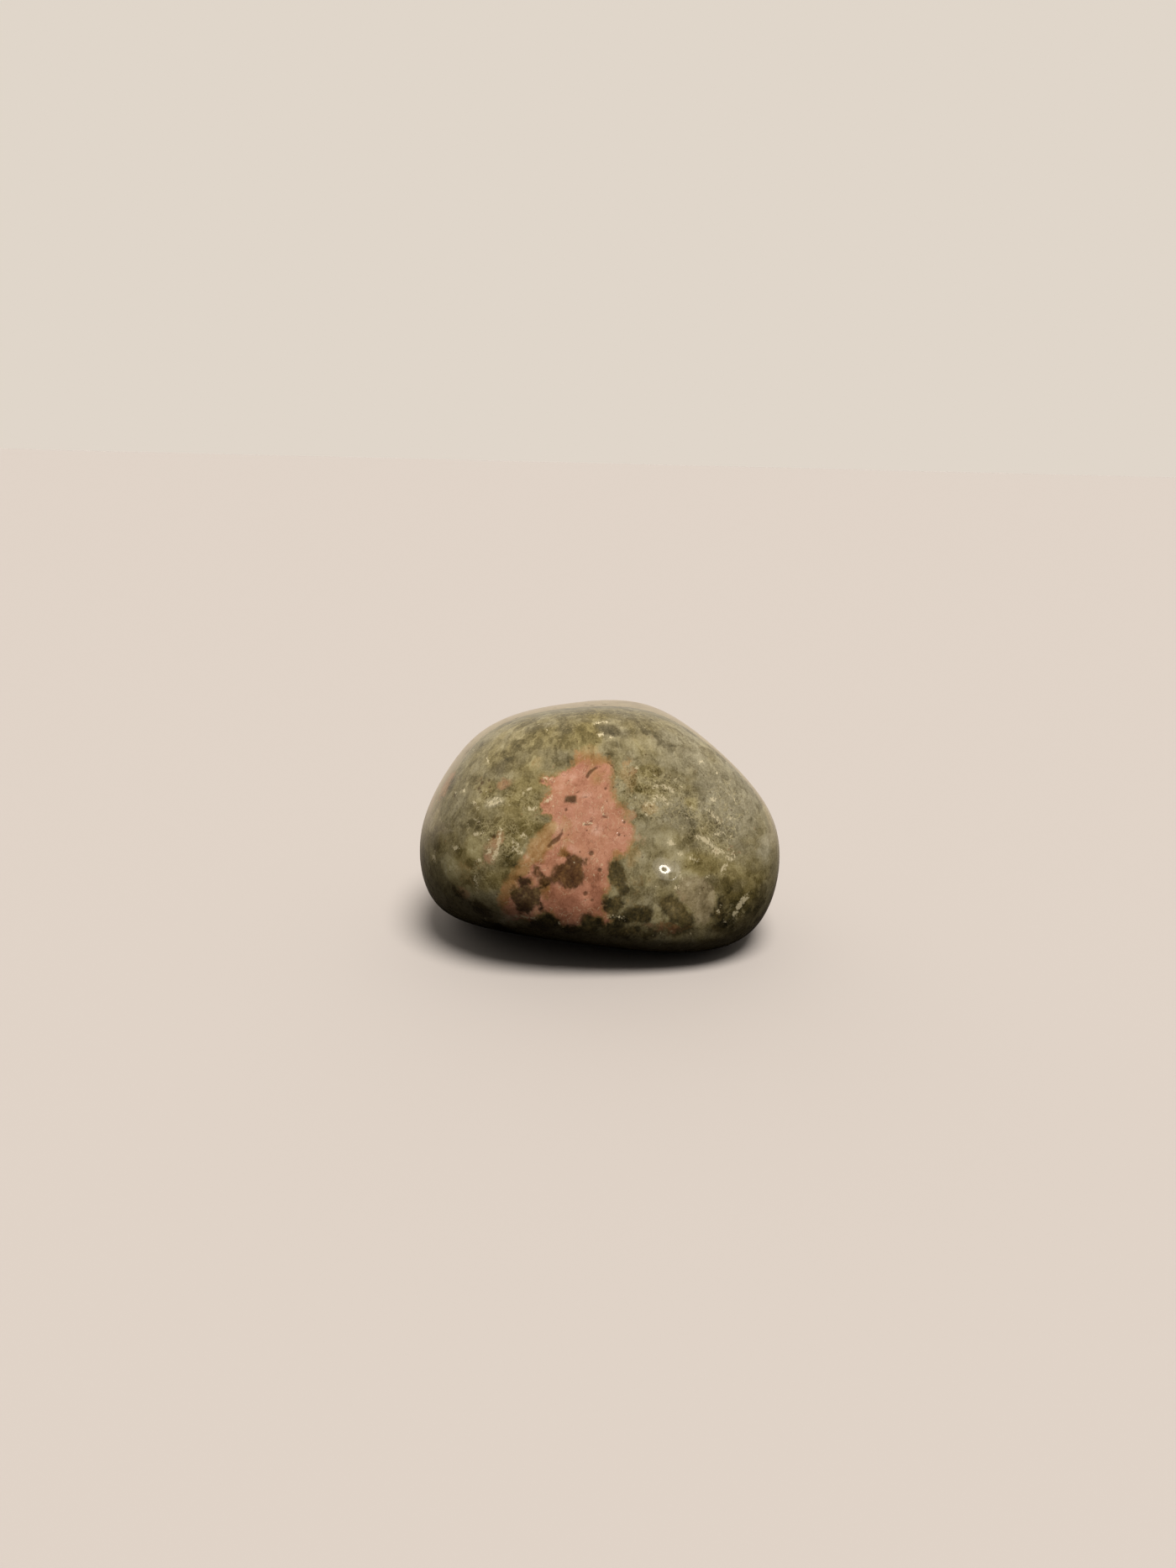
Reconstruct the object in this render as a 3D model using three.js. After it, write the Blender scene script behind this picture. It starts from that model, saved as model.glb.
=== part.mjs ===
import * as THREE from 'three';
import { mergeVertices } from 'three/addons/utils/BufferGeometryUtils.js';

// A tumbled and polished unakite pebble, one solid. Millimetres, +Z up, front towards -Y.
// The origin is on the surface that the pebble rests on, under the middle of its length and depth.
//
// The pebble is a broken piece of rock that tumbling has rounded. It is modelled the same way:
// an egg is cut by broad flats, one for each old broken face, and wear blends all of them
// into each other. Seen from the egg's middle, the surface lies at a single distance
// in every direction, so one rule gives the whole shape.

// Half the length, depth and height of the egg that is left where no flat cuts it
const EGG_LENGTH = 17.2;
const EGG_DEPTH = 14.8;
const EGG_HEIGHT = 14.8;

// How much of the edges is left: 2 would wear the pebble to an egg, 40 would leave sharp edges
const EDGE_CRISPNESS = 10;

// From the egg's middle down to the small flat spot that the pebble rests on
const REST_DEPTH = 9.2;

// The broken faces. Turn is in degrees round the pebble from its front towards its right end,
// rise is in degrees above level, and distance is from the egg's middle to the face.
const BROKEN_FACES = [
  { place: 'underside', turn: 0, rise: -90, distance: 9.5 },
  { place: 'below the front', turn: -16, rise: -64, distance: 10.8 },
  { place: 'below the back', turn: 165, rise: -56, distance: 13.0 },
  { place: 'left end', turn: -92, rise: -4, distance: 17.9 },
  { place: 'right end', turn: 93, rise: 4, distance: 16.4 },
  { place: 'long slope on the right', turn: 103, rise: 47, distance: 12.2 },
  { place: 'left shoulder', turn: -90, rise: 36, distance: 14.5 },
  { place: 'crown, left half', turn: -130, rise: 74, distance: 11.7 },
  { place: 'crown, right half', turn: 125, rise: 80, distance: 12.1 },
  { place: 'front', turn: 12, rise: 14, distance: 11.8 },
  { place: 'back', turn: 206, rise: 8, distance: 13.0 },
];

// Each edge of the starting icosahedron is split into one more stretch than this number
const SPLITS = 16;

const EGG = new THREE.Vector3(EGG_LENGTH, EGG_DEPTH, EGG_HEIGHT);

// The direction that a broken face looks in
function faceNormal({ turn, rise }) {
  const around = THREE.MathUtils.degToRad(turn);
  const up = THREE.MathUtils.degToRad(rise);
  const level = Math.cos(up);
  return new THREE.Vector3(Math.sin(around) * level, -Math.cos(around) * level, Math.sin(up));
}

const CUTS = BROKEN_FACES.map((face) => ({ normal: faceNormal(face), distance: face.distance }));

// How far the surface lies from the egg's middle in a direction of length one.
// The egg and every face each give an inverse distance, and the largest of them wins,
// softly, by a power mean. The resting spot is cut clean, without wear.
function surfaceDistance(direction) {
  const ofEgg = direction.clone().divide(EGG).length();
  let sum = Math.pow(ofEgg, EDGE_CRISPNESS);
  for (const cut of CUTS) {
    const ofCut = Math.max(0, direction.dot(cut.normal)) / cut.distance;
    sum += Math.pow(ofCut, EDGE_CRISPNESS);
  }
  const worn = Math.pow(sum, -1 / EDGE_CRISPNESS);
  const toRest = direction.z < 0 ? REST_DEPTH / -direction.z : Infinity;
  return Math.min(worn, toRest);
}

// An evenly split sphere whose points are moved out to the surface
function pebbleGeometry() {
  const ball = new THREE.IcosahedronGeometry(1, SPLITS);
  ball.deleteAttribute('normal');
  ball.deleteAttribute('uv');
  const geometry = mergeVertices(ball);
  const points = geometry.getAttribute('position');
  const point = new THREE.Vector3();
  for (let i = 0; i < points.count; i += 1) {
    point.fromBufferAttribute(points, i).normalize();
    point.multiplyScalar(surfaceDistance(point));
    points.setXYZ(i, point.x, point.y, point.z);
  }
  geometry.computeBoundingBox();
  const { min, max } = geometry.boundingBox;
  geometry.translate(-(min.x + max.x) / 2, -(min.y + max.y) / 2, -min.z);
  geometry.computeVertexNormals();
  return geometry;
}

// Olive green epidote is most of the polished face, with salmon feldspar in patches
const unakite = new THREE.MeshStandardMaterial({
  name: 'polished_unakite',
  color: '#8d8864',
  roughness: 0.2,
  metalness: 0,
});

const pebble = new THREE.Mesh(pebbleGeometry(), unakite);
pebble.name = 'unakite_pebble';

const part = new THREE.Group();
part.add(pebble);

export default part;
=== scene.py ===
# %% [markdown]
# A tumbled unakite pebble.
#
# Unakite is a granite that hot water has changed. Its plagioclase became olive green epidote,
# its orthoclase feldspar stayed salmon pink, and a little grey quartz lies between them.
# Weeks in a tumbling drum round a broken piece and polish it, but they never reach the small
# pits and cracks of the rock.
#
# This lesson makes the pebble in the order that the real one got its looks:
# the worn form, the minerals that the form cuts through, the pits and cracks, then the polish.
# It starts from the part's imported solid, whose place and size hold for everything below.

# %% Load the frame
import math

import bpy
import numpy as np
from mathutils import Matrix, Vector, interpolate, noise
from mathutils.bvhtree import BVHTree


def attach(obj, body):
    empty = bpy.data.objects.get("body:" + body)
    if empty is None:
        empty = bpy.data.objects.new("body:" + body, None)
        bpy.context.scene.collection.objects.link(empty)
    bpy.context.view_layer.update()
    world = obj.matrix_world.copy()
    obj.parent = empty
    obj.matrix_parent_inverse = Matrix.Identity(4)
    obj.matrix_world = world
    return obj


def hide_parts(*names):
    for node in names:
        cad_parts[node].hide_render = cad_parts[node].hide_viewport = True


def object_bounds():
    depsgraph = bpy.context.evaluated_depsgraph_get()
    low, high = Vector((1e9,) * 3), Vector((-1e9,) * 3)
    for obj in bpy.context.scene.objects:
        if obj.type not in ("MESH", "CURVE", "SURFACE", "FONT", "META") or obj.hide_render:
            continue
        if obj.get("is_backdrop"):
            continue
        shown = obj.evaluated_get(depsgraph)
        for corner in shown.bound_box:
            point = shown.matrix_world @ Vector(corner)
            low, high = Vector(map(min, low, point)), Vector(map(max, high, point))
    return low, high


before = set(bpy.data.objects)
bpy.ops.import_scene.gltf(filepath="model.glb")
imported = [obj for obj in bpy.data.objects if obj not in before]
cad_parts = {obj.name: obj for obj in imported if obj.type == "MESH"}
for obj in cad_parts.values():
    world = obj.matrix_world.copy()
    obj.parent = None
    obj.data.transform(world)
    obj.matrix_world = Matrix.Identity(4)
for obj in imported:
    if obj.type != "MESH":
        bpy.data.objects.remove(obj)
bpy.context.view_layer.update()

MM = 0.001
NODE = "unakite_pebble"

# %% [markdown]
# Every tree of nodes below, of geometry and of shaders alike, is built by one helper.
# It adds a node, sets the node's own properties, and fills its sockets, in their order or by
# name or number. A socket takes a plain value, another node (its first output is meant),
# or one output of a node.

# %% Helpers for node trees and colours


def add(tree, kind, sockets=(), **settings):
    """Adds a node with its settings, and fills or links its sockets."""
    node = tree.nodes.new(kind)
    for name, value in settings.items():
        setattr(node, name, value)
    for key, value in sockets.items() if isinstance(sockets, dict) else enumerate(sockets):
        socket = node.inputs[key]
        if isinstance(value, bpy.types.Node):
            value = value.outputs[0]
        if isinstance(value, bpy.types.NodeSocket):
            tree.links.new(value, socket)
        else:
            socket.default_value = value
    return node


def linear(hex_colour):
    """An sRGB hex colour as the linear RGBA that Blender's sockets hold."""
    shares = [int(hex_colour[i:i + 2], 16) / 255 for i in (1, 3, 5)]
    return [c / 12.92 if c <= 0.04045 else ((c + 0.055) / 1.055) ** 2.4 for c in shares] + [1.0]


print("half grey, linear:", round(linear("#808080")[0], 3))

# %% [markdown]
# The camera comes first, because some marks on the pebble are placed by where they show.
# The picture is 1400 by 1867 pixels, taken with a phone's main camera. Such a camera sees as
# a 26 mm lens does, which is 1402 pixels of focal length here. It was held 105 mm from the
# pebble, 18 degrees above the table, and turned a little, so the pebble leans to the right.
# In Blender the sensor's 36 mm belong to the longer side, so the lens follows by proportion.

# %% Camera
PHOTO_WIDTH, PHOTO_HEIGHT = 1400, 1867
FOCAL_PX = 1402
SENSOR_MM = 36
CAMERA_DISTANCE = 105.0
CAMERA_RISE = 18.1
CAMERA_ROLL = 1.6

# The egg that the pebble was worn from has its middle here, in mm, and shows at this pixel
EGG_MIDDLE = Vector((0.18, -0.56, 9.2))
EGG_MIDDLE_PX = (716, 985)


def camera_axes():
    """The camera's place in mm, and its right, up and forward axes."""
    rise, roll = math.radians(CAMERA_RISE), math.radians(CAMERA_ROLL)
    place = EGG_MIDDLE + CAMERA_DISTANCE * Vector((0, -math.cos(rise), math.sin(rise)))
    across, down = EGG_MIDDLE_PX[0] - PHOTO_WIDTH / 2, EGG_MIDDLE_PX[1] - PHOTO_HEIGHT / 2
    across, down = (math.cos(roll) * across + math.sin(roll) * down,
                    math.cos(roll) * down - math.sin(roll) * across)
    pitch = rise - math.atan(down / FOCAL_PX)
    yaw = math.atan(across / math.hypot(FOCAL_PX, down))
    level = Vector((0, math.cos(pitch), -math.sin(pitch)))
    up = Vector((0, math.sin(pitch), math.cos(pitch)))
    side = Vector((1, 0, 0))
    forward = math.cos(yaw) * level - math.sin(yaw) * side
    right = math.cos(yaw) * side + math.sin(yaw) * level
    right, up = (math.cos(roll) * right + math.sin(roll) * up,
                 math.cos(roll) * up - math.sin(roll) * right)
    return place, right, up, forward


EYE, RIGHT, UP, FORWARD = camera_axes()

camera = bpy.data.objects.new("camera", bpy.data.cameras.new("camera"))
camera.matrix_world = Matrix.Translation(EYE * MM) @ Matrix((RIGHT, UP, -FORWARD)).transposed().to_4x4()
camera.data.sensor_width = SENSOR_MM
camera.data.lens = SENSOR_MM * FOCAL_PX / PHOTO_HEIGHT
camera.data.clip_start, camera.data.clip_end = 0.005, 20
bpy.context.scene.collection.objects.link(camera)
bpy.context.scene.camera = camera
print("camera at, mm:", [round(c, 1) for c in EYE], "lens, mm:", round(camera.data.lens, 2))

# %% [markdown]
# The pebble's form follows a rule, so Geometry Nodes make it. A broken piece of rock has flat
# faces, and tumbling wears its edges round. The rule is an egg that broad flats cut, each
# at its own distance from the egg's middle, and a power mean blends them: the higher the
# power, the crisper the edges. A sculpted mesh could look the same, but a rule can be read,
# and it is the rule of the solid as well, so both have one shape.

# %% The form's sizes, in mm and degrees
EGG_HALF = (17.2, 14.8, 14.8)
EDGE_CRISPNESS = 10.0
REST_DEPTH = 9.2

# Turn round the pebble from its front towards its right end, rise above level, distance
BROKEN_FACES = {
    "underside": (0, -90, 9.5),
    "below the front": (-16, -64, 10.8),
    "below the back": (165, -56, 13.0),
    "left end": (-92, -4, 17.9),
    "right end": (93, 4, 16.4),
    "long slope on the right": (103, 47, 12.2),
    "left shoulder": (-90, 36, 14.5),
    "crown, left half": (-130, 74, 11.7),
    "crown, right half": (125, 80, 12.1),
    "front": (12, 14, 11.8),
    "back": (206, 8, 13.0),
}

# Polishing leaves a wavy skin, and takes a trace off all round
WAVE_LENGTH, WAVE_DEPTH = 5.0, 0.06
POLISH_LOSS = 0.01
POINTS_ALONG_SIDE = 125

# Pits where a grain has broken out: at least this far apart, so many on a square mm, and
# each with a flat floor of a fifth of its radius. The lowest lies above the resting spot
PIT_SPACING = 1.3
PIT_DENSITY = 0.05
PIT_RADIUS = (0.14, 0.24)
PIT_DEPTH = 0.05
PIT_FLOOR_SHARE = 0.2
PIT_CLEARANCE = 0.4
SEED = 11


def face_normal(turn, rise):
    """The direction that a broken face looks in."""
    turn, rise = math.radians(turn), math.radians(rise)
    return Vector((math.sin(turn) * math.cos(rise), -math.cos(turn) * math.cos(rise), math.sin(rise)))


print("broken faces:", len(BROKEN_FACES))

# %% [markdown]
# The tree starts with a cube whose points are all moved to one distance from the middle. Such
# a sphere has points that are spread evenly and no poles, so the polish stays smooth all
# over. The tangent evens out the steps between the middle of a cube's side and its edge.
# Each point then moves out to the distance that the rule gives for its direction.

# %% The worn form
LEAST_DOWN = 0.01


def worn_form(tree, given):
    """A cube sphere with its points on the worn surface, in mm round the egg's middle."""
    points = given["Points along a side"]
    cube = add(tree, "GeometryNodeMeshCube", {
        "Size": (2, 2, 2), "Vertices X": points, "Vertices Y": points, "Vertices Z": points})
    quarter_turn = add(tree, "ShaderNodeVectorMath", {
        0: add(tree, "GeometryNodeInputPosition"), "Scale": math.pi / 4}, operation="SCALE")
    spread = add(tree, "ShaderNodeVectorMath", [quarter_turn], operation="TANGENT")
    direction = add(tree, "ShaderNodeVectorMath", [spread], operation="NORMALIZE")

    # The egg and each broken face give an inverse distance, and a power mean joins them
    crisp = given["Edge crispness"]
    egg = add(tree, "ShaderNodeCombineXYZ", [given[f"Half {side}"] for side in ("length", "depth", "height")])
    in_egg = add(tree, "ShaderNodeVectorMath", [direction, egg], operation="DIVIDE")
    of_egg = add(tree, "ShaderNodeVectorMath", [in_egg], operation="LENGTH").outputs["Value"]
    total = add(tree, "ShaderNodeMath", [of_egg, crisp], operation="POWER")
    for turn, rise, distance in BROKEN_FACES.values():
        normal = face_normal(turn, rise)
        towards = add(tree, "ShaderNodeVectorMath", [direction, normal], operation="DOT_PRODUCT")
        outwards = add(tree, "ShaderNodeMath", [towards.outputs["Value"], 0.0], operation="MAXIMUM")
        of_face = add(tree, "ShaderNodeMath", [outwards, distance], operation="DIVIDE")
        of_face = add(tree, "ShaderNodeMath", [of_face, crisp], operation="POWER")
        total = add(tree, "ShaderNodeMath", [total, of_face], operation="ADD")
    power = add(tree, "ShaderNodeMath", [-1.0, crisp], operation="DIVIDE")
    worn = add(tree, "ShaderNodeMath", [total, power], operation="POWER")

    # Long, shallow waves and the polish, and then the resting spot, which is cut clean
    place = add(tree, "ShaderNodeVectorMath", {0: direction, "Scale": worn}, operation="SCALE")
    per_mm = add(tree, "ShaderNodeMath", [1.0, given["Wave length"]], operation="DIVIDE")
    waves = add(tree, "ShaderNodeTexNoise", {"Vector": place, "Scale": per_mm, "Detail": 0.0})
    waves = add(tree, "ShaderNodeMath", [waves, given["Wave depth"]], operation="MULTIPLY")
    wavy = add(tree, "ShaderNodeMath", [worn, waves], operation="SUBTRACT")
    polished = add(tree, "ShaderNodeMath", [wavy, given["Polish loss"]], operation="SUBTRACT")
    upwards = add(tree, "ShaderNodeSeparateXYZ", [direction]).outputs["Z"]
    down = add(tree, "ShaderNodeMath", [upwards, -1.0], operation="MULTIPLY")
    down = add(tree, "ShaderNodeMath", [down, LEAST_DOWN], operation="MAXIMUM")
    to_rest = add(tree, "ShaderNodeMath", [given["Rest depth"], down], operation="DIVIDE")
    reach = add(tree, "ShaderNodeMath", [polished, to_rest], operation="MINIMUM")
    place = add(tree, "ShaderNodeVectorMath", {0: direction, "Scale": reach}, operation="SCALE")
    return add(tree, "GeometryNodeSetPosition", {"Geometry": cube, "Position": place})


# %% [markdown]
# A pit is left where a grain has broken out. Points are strewn over the form, never nearer to
# each other than the spacing, and each gets a radius of its own. The skin sinks along its
# normal near such a point. Pits from a noise would come in rows, and strewn points don't.

# %% Pits
def with_pits(tree, given, form):
    """The form with pits, but none on the resting spot."""
    strewn = add(tree, "GeometryNodeDistributePointsOnFaces", {
        "Mesh": form, "Distance Min": given["Pit spacing"], "Density Max": given["Pit density"],
        "Seed": given["Seed"]}, distribute_method="POISSON")
    radius = add(tree, "FunctionNodeRandomValue", {
        2: given["Smallest pit"], 3: given["Largest pit"], "Seed": given["Seed"]}, data_type="FLOAT")
    nearest = add(tree, "GeometryNodeSampleNearest", {"Geometry": strewn}, domain="POINT")
    radius = add(tree, "GeometryNodeSampleIndex", {
        "Geometry": strewn, "Value": radius.outputs[1], "Index": nearest}, data_type="FLOAT", domain="POINT")
    away = add(tree, "GeometryNodeProximity", [strewn], target_element="POINTS").outputs["Distance"]
    away = add(tree, "ShaderNodeMath", [away, radius], operation="DIVIDE")
    share = add(tree, "ShaderNodeMapRange", {
        "Value": away, "From Min": 1.0, "From Max": PIT_FLOOR_SHARE}, interpolation_type="SMOOTHSTEP")
    height = add(tree, "ShaderNodeSeparateXYZ", [add(tree, "GeometryNodeInputPosition")]).outputs["Z"]
    above_rest = add(tree, "ShaderNodeMath", [height, given["Rest depth"]], operation="ADD")
    off_rest = add(tree, "ShaderNodeMath", [above_rest, PIT_CLEARANCE], operation="GREATER_THAN")
    depth = add(tree, "ShaderNodeMath", [share, given["Pit depth"]], operation="MULTIPLY")
    depth = add(tree, "ShaderNodeMath", [depth, off_rest], operation="MULTIPLY")
    outwards = add(tree, "ShaderNodeMath", [depth, -1.0], operation="MULTIPLY")
    inwards = add(tree, "ShaderNodeVectorMath", {
        0: add(tree, "GeometryNodeInputNormal"), "Scale": outwards}, operation="SCALE")
    return add(tree, "GeometryNodeSetPosition", {"Geometry": form, "Offset": inwards})


# %% [markdown]
# Last, the tree moves the middle of the pebble's length and depth to the origin and its
# underside to the ground, which is the solid's own place, and turns millimetres to metres.
# The box of the form without pits is used for this, so a pit can't shift the pebble.

# %% Settle and finish
def finished(tree, form, pitted, material):
    """The pebble in its place, in metres, smooth, and with its material."""
    box = add(tree, "GeometryNodeBoundBox", [form])
    middle = add(tree, "ShaderNodeVectorMath", [box.outputs["Min"], box.outputs["Max"]], operation="ADD")
    middle = add(tree, "ShaderNodeVectorMath", {0: middle, "Scale": -0.5}, operation="SCALE")
    aside = add(tree, "ShaderNodeSeparateXYZ", [middle]).outputs
    lowest = add(tree, "ShaderNodeSeparateXYZ", [box.outputs["Min"]]).outputs["Z"]
    lift = add(tree, "ShaderNodeMath", [lowest, -1.0], operation="MULTIPLY")
    shift = add(tree, "ShaderNodeCombineXYZ", [aside["X"], aside["Y"], lift])
    moved = add(tree, "GeometryNodeTransform", {"Geometry": pitted, "Translation": shift})
    metres = add(tree, "GeometryNodeTransform", {"Geometry": moved, "Scale": (MM, MM, MM)})
    smooth = add(tree, "GeometryNodeSetShadeSmooth", [metres])
    real = add(tree, "GeometryNodeRealizeInstances", [smooth])
    return add(tree, "GeometryNodeSetMaterial", {"Geometry": real, "Material": material})


# %% [markdown]
# The tree gets a named input for each size. The modifier's inputs are set by the identifiers of
# these sockets before Blender evaluates the object for the first time, and the evaluated
# object then becomes a plain mesh, because everything below works on fixed points.

# %% Grow the pebble
FORM_INPUTS = {
    "Half length": EGG_HALF[0], "Half depth": EGG_HALF[1], "Half height": EGG_HALF[2],
    "Edge crispness": EDGE_CRISPNESS, "Rest depth": REST_DEPTH, "Polish loss": POLISH_LOSS,
    "Wave length": WAVE_LENGTH, "Wave depth": WAVE_DEPTH,
    "Pit spacing": PIT_SPACING, "Pit density": PIT_DENSITY, "Smallest pit": PIT_RADIUS[0],
    "Largest pit": PIT_RADIUS[1], "Pit depth": PIT_DEPTH,
    "Points along a side": POINTS_ALONG_SIDE, "Seed": SEED,
}

unakite = bpy.data.materials.new("polished unakite")
tree = bpy.data.node_groups.new("tumbled pebble", "GeometryNodeTree")
for name, value in FORM_INPUTS.items():
    kind = "NodeSocketInt" if isinstance(value, int) else "NodeSocketFloat"
    tree.interface.new_socket(name, in_out="INPUT", socket_type=kind)
tree.interface.new_socket("Pebble", in_out="OUTPUT", socket_type="NodeSocketGeometry")
given = add(tree, "NodeGroupInput").outputs
form = worn_form(tree, given)
add(tree, "NodeGroupOutput", [finished(tree, form, with_pits(tree, given, form), unakite)])

grower = bpy.data.objects.new("pebble_grower", bpy.data.meshes.new("pebble_grower"))
bpy.context.scene.collection.objects.link(grower)
growth = grower.modifiers.new("form", "NODES")
growth.node_group = tree
for item in tree.interface.items_tree:
    if item.in_out == "INPUT":
        growth[item.identifier] = FORM_INPUTS[item.name]

grown = grower.evaluated_get(bpy.context.evaluated_depsgraph_get())
mesh = bpy.data.meshes.new_from_object(grown)
grower.modifiers.remove(growth)
bpy.data.objects.remove(grower)

mesh.name = "unakite"
pebble = bpy.data.objects.new("unakite", mesh)
bpy.context.scene.collection.objects.link(pebble)

spots = np.empty(len(mesh.vertices) * 3)
mesh.vertices.foreach_get("co", spots)
spots = spots.reshape(-1, 3) / MM
skin_directions = np.empty(len(mesh.vertices) * 3)
mesh.vertices.foreach_get("normal", skin_directions)
skin_directions = skin_directions.reshape(-1, 3)
print("pebble:", len(mesh.polygons) * 2, "triangles, size in mm:", np.round(np.ptp(spots, axis=0), 2))

# %% [markdown]
# The minerals are bodies inside the rock, and the polished skin cuts through them. So each
# body is a small ellipsoid in space, with its axes along the picture's width, its height
# and the line of sight. A mark's place is the pixel where it shows; a ray from
# the camera finds the spot on the skin behind that pixel. Sizes are real, in mm.
#
# The skin keeps, for each kind of mineral, how deep a point lies inside the nearest body of
# that kind, in mm. The material turns these depths into colour, and adds noise before it
# cuts them at zero, so that no edge stays as smooth as an ellipsoid.

# %% From a pixel to the skin
MM_PER_PX = CAMERA_DISTANCE / FOCAL_PX
skin = BVHTree.FromPolygons([tuple(spot) for spot in spots], [tuple(face.vertices) for face in mesh.polygons])


def sight_line(x, y):
    """The direction in which the camera sees a pixel."""
    across, down = x - PHOTO_WIDTH / 2, y - PHOTO_HEIGHT / 2
    return (FORWARD * FOCAL_PX + RIGHT * across - UP * down).normalized()


def on_skin(x, y):
    """The spot on the skin, in mm, that shows at this pixel."""
    spot = skin.ray_cast(EYE, sight_line(x, y))[0]
    if spot is None:
        raise ValueError(f"no skin behind pixel {x}, {y}")
    return np.array(spot)


def shown_at(points):
    """The pixels at which points show, and how far from the camera they lie, in mm along its axis."""
    away = points - np.array(EYE)
    distance = away @ np.array(FORWARD)
    x = PHOTO_WIDTH / 2 + away @ np.array(RIGHT) / distance * FOCAL_PX
    y = PHOTO_HEIGHT / 2 - away @ np.array(UP) / distance * FOCAL_PX
    return np.stack([x, y], axis=1), distance


pixels, sight_distance = shown_at(spots)
print("pebble shows at pixels", np.round(pixels.min(axis=0)), "to", np.round(pixels.max(axis=0)))

# %% [markdown]
# No grain has the outline of an ellipsoid. So a body's depth isn't taken at the point of the skin
# but a little beside it, and how far beside changes from place to place, by a noise of two sizes.
# That bends the outlines of all bodies together, as in rock that was squeezed while hot.
#
# Hard bodies keep their depth in mm, and the deepest counts. Tints have no edge of their own:
# they fade over their outline and add up.

# %% Bent space, and the bodies in it
# Size of each noise and how far it moves a point, in mm
BEND = ((1.1, 0.30), (0.42, 0.16))
# A body that shows as a mark reaches into the rock by a share of its larger half, and some mm more
REACH_SHARE, REACH_MORE = 1.2, 0.6
FAR_OUTSIDE = -9.0
TINT_EDGE = 7.0
NOTHING_LEFT = 50


def bent(points):
    """The points, each moved aside by noise."""
    moved = points.copy()
    for size, reach in BEND:
        moved += reach * np.array([noise.noise_vector(Vector(point) / size) for point in points])
    return moved


# Without a seed this noise starts from the clock, so that every run would bend differently
noise.seed_set(SEED)
bent_spots = bent(spots)


def turned_axes(turn):
    """The picture's axes across and up, turned by some degrees."""
    turn = math.radians(turn)
    return (np.array(RIGHT) * math.cos(turn) + np.array(UP) * math.sin(turn),
            np.array(UP) * math.cos(turn) - np.array(RIGHT) * math.sin(turn))


def body_reach(centre, across, upright, turn=0.0, along=None):
    """Where each point lies in an ellipsoid: 0 at its middle and 1 on its outline."""
    first, second = turned_axes(turn)
    along = along or REACH_SHARE * max(across, upright) + REACH_MORE
    offset = bent_spots - centre
    return np.sqrt((offset @ first / across) ** 2 + (offset @ second / upright) ** 2
                   + (offset @ np.array(FORWARD) / along) ** 2)


def falling(value):
    """A share that is 1 well below zero, 0 well above it, and soft in between."""
    return 1 / (1 + np.exp(np.minimum(value, NOTHING_LEFT)))


def deepest(marks):
    """The depth in the nearest of many marks, in mm: pixel, half width, half height, turn."""
    depth = np.full(len(spots), FAR_OUTSIDE)
    for x, y, across, upright, turn in marks:
        reach = body_reach(on_skin(x, y), across, upright, turn)
        depth = np.maximum(depth, (1 - reach) * min(across, upright))
    return depth


def sum_of_tints(marks):
    """Tints that add up: pixel, half width, half height, turn, strength."""
    tint = np.zeros(len(spots))
    for x, y, across, upright, turn, strength in marks:
        tint += strength * falling((body_reach(on_skin(x, y), across, upright, turn) - 1) * TINT_EDGE)
    return tint


def along_lines(lines):
    """The depth in thin bodies that run through the spots behind some pixels: half width in mm, pixels."""
    depth = np.full(len(spots), FAR_OUTSIDE)
    for width, line in lines:
        stops = [on_skin(x, y) for x, y in line]
        for start, end in zip(stops, stops[1:]):
            run = end - start
            share = np.clip((spots - start) @ run / (run @ run), 0, 1)
            depth = np.maximum(depth, width - np.linalg.norm(spots - start - share[:, None] * run, axis=1))
    return depth


print("moved aside by, mm:", round(float(np.linalg.norm(bent_spots - spots, axis=1).mean()), 2))

# %% [markdown]
# Some bodies have outlines that everyone sees, so they aren't ellipsoids: the pink feldspar in the
# middle, the pale quartz at the lower right, and the dark grains round the pink's lower half.
# Each outline on the front is a loop of pixels, and the body is a plate behind it that thins out
# towards the back, the pink one slowly, as a vein does.

# %% Bodies with outlines of their own, in pixels of the picture
PINK_OUTLINE = [
    (687, 897), (685, 906), (681, 914), (675, 919), (668, 921), (661, 922), (653, 926), (645, 926),
    (643, 932), (653, 934), (657, 938), (656, 943), (650, 947), (648, 954), (645, 960), (646, 967),
    (654, 972), (657, 979), (652, 984), (645, 989), (640, 996), (633, 1003), (628, 1012),
    (623, 1024), (617, 1035), (608, 1045), (601, 1056), (596, 1064), (596, 1076), (601, 1086),
    (604, 1094), (612, 1094), (622, 1093), (632, 1096), (640, 1090), (648, 1086), (656, 1087),
    (662, 1094), (669, 1101), (680, 1105), (692, 1101), (695, 1092), (701, 1089), (705, 1094),
    (711, 1091), (716, 1092), (719, 1100), (727, 1098), (722, 1088), (718, 1082), (719, 1072),
    (719, 1066), (723, 1060), (727, 1054), (723, 1047), (725, 1037), (727, 1028), (732, 1021),
    (736, 1015), (741, 1018), (748, 1014), (751, 1005), (754, 995), (753, 985), (747, 978),
    (741, 974), (746, 968), (741, 960), (734, 958), (731, 950), (729, 943), (727, 935), (727, 927),
    (729, 919), (729, 912), (722, 906), (712, 901), (700, 898),
]
QUARTZ_OUTLINE = [
    (812, 1045), (822, 1045), (832, 1044), (843, 1050), (850, 1058), (853, 1068), (851, 1079),
    (846, 1086), (845, 1097), (837, 1101), (828, 1096), (823, 1086), (815, 1078), (808, 1070),
    (805, 1062), (808, 1054),
]
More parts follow.
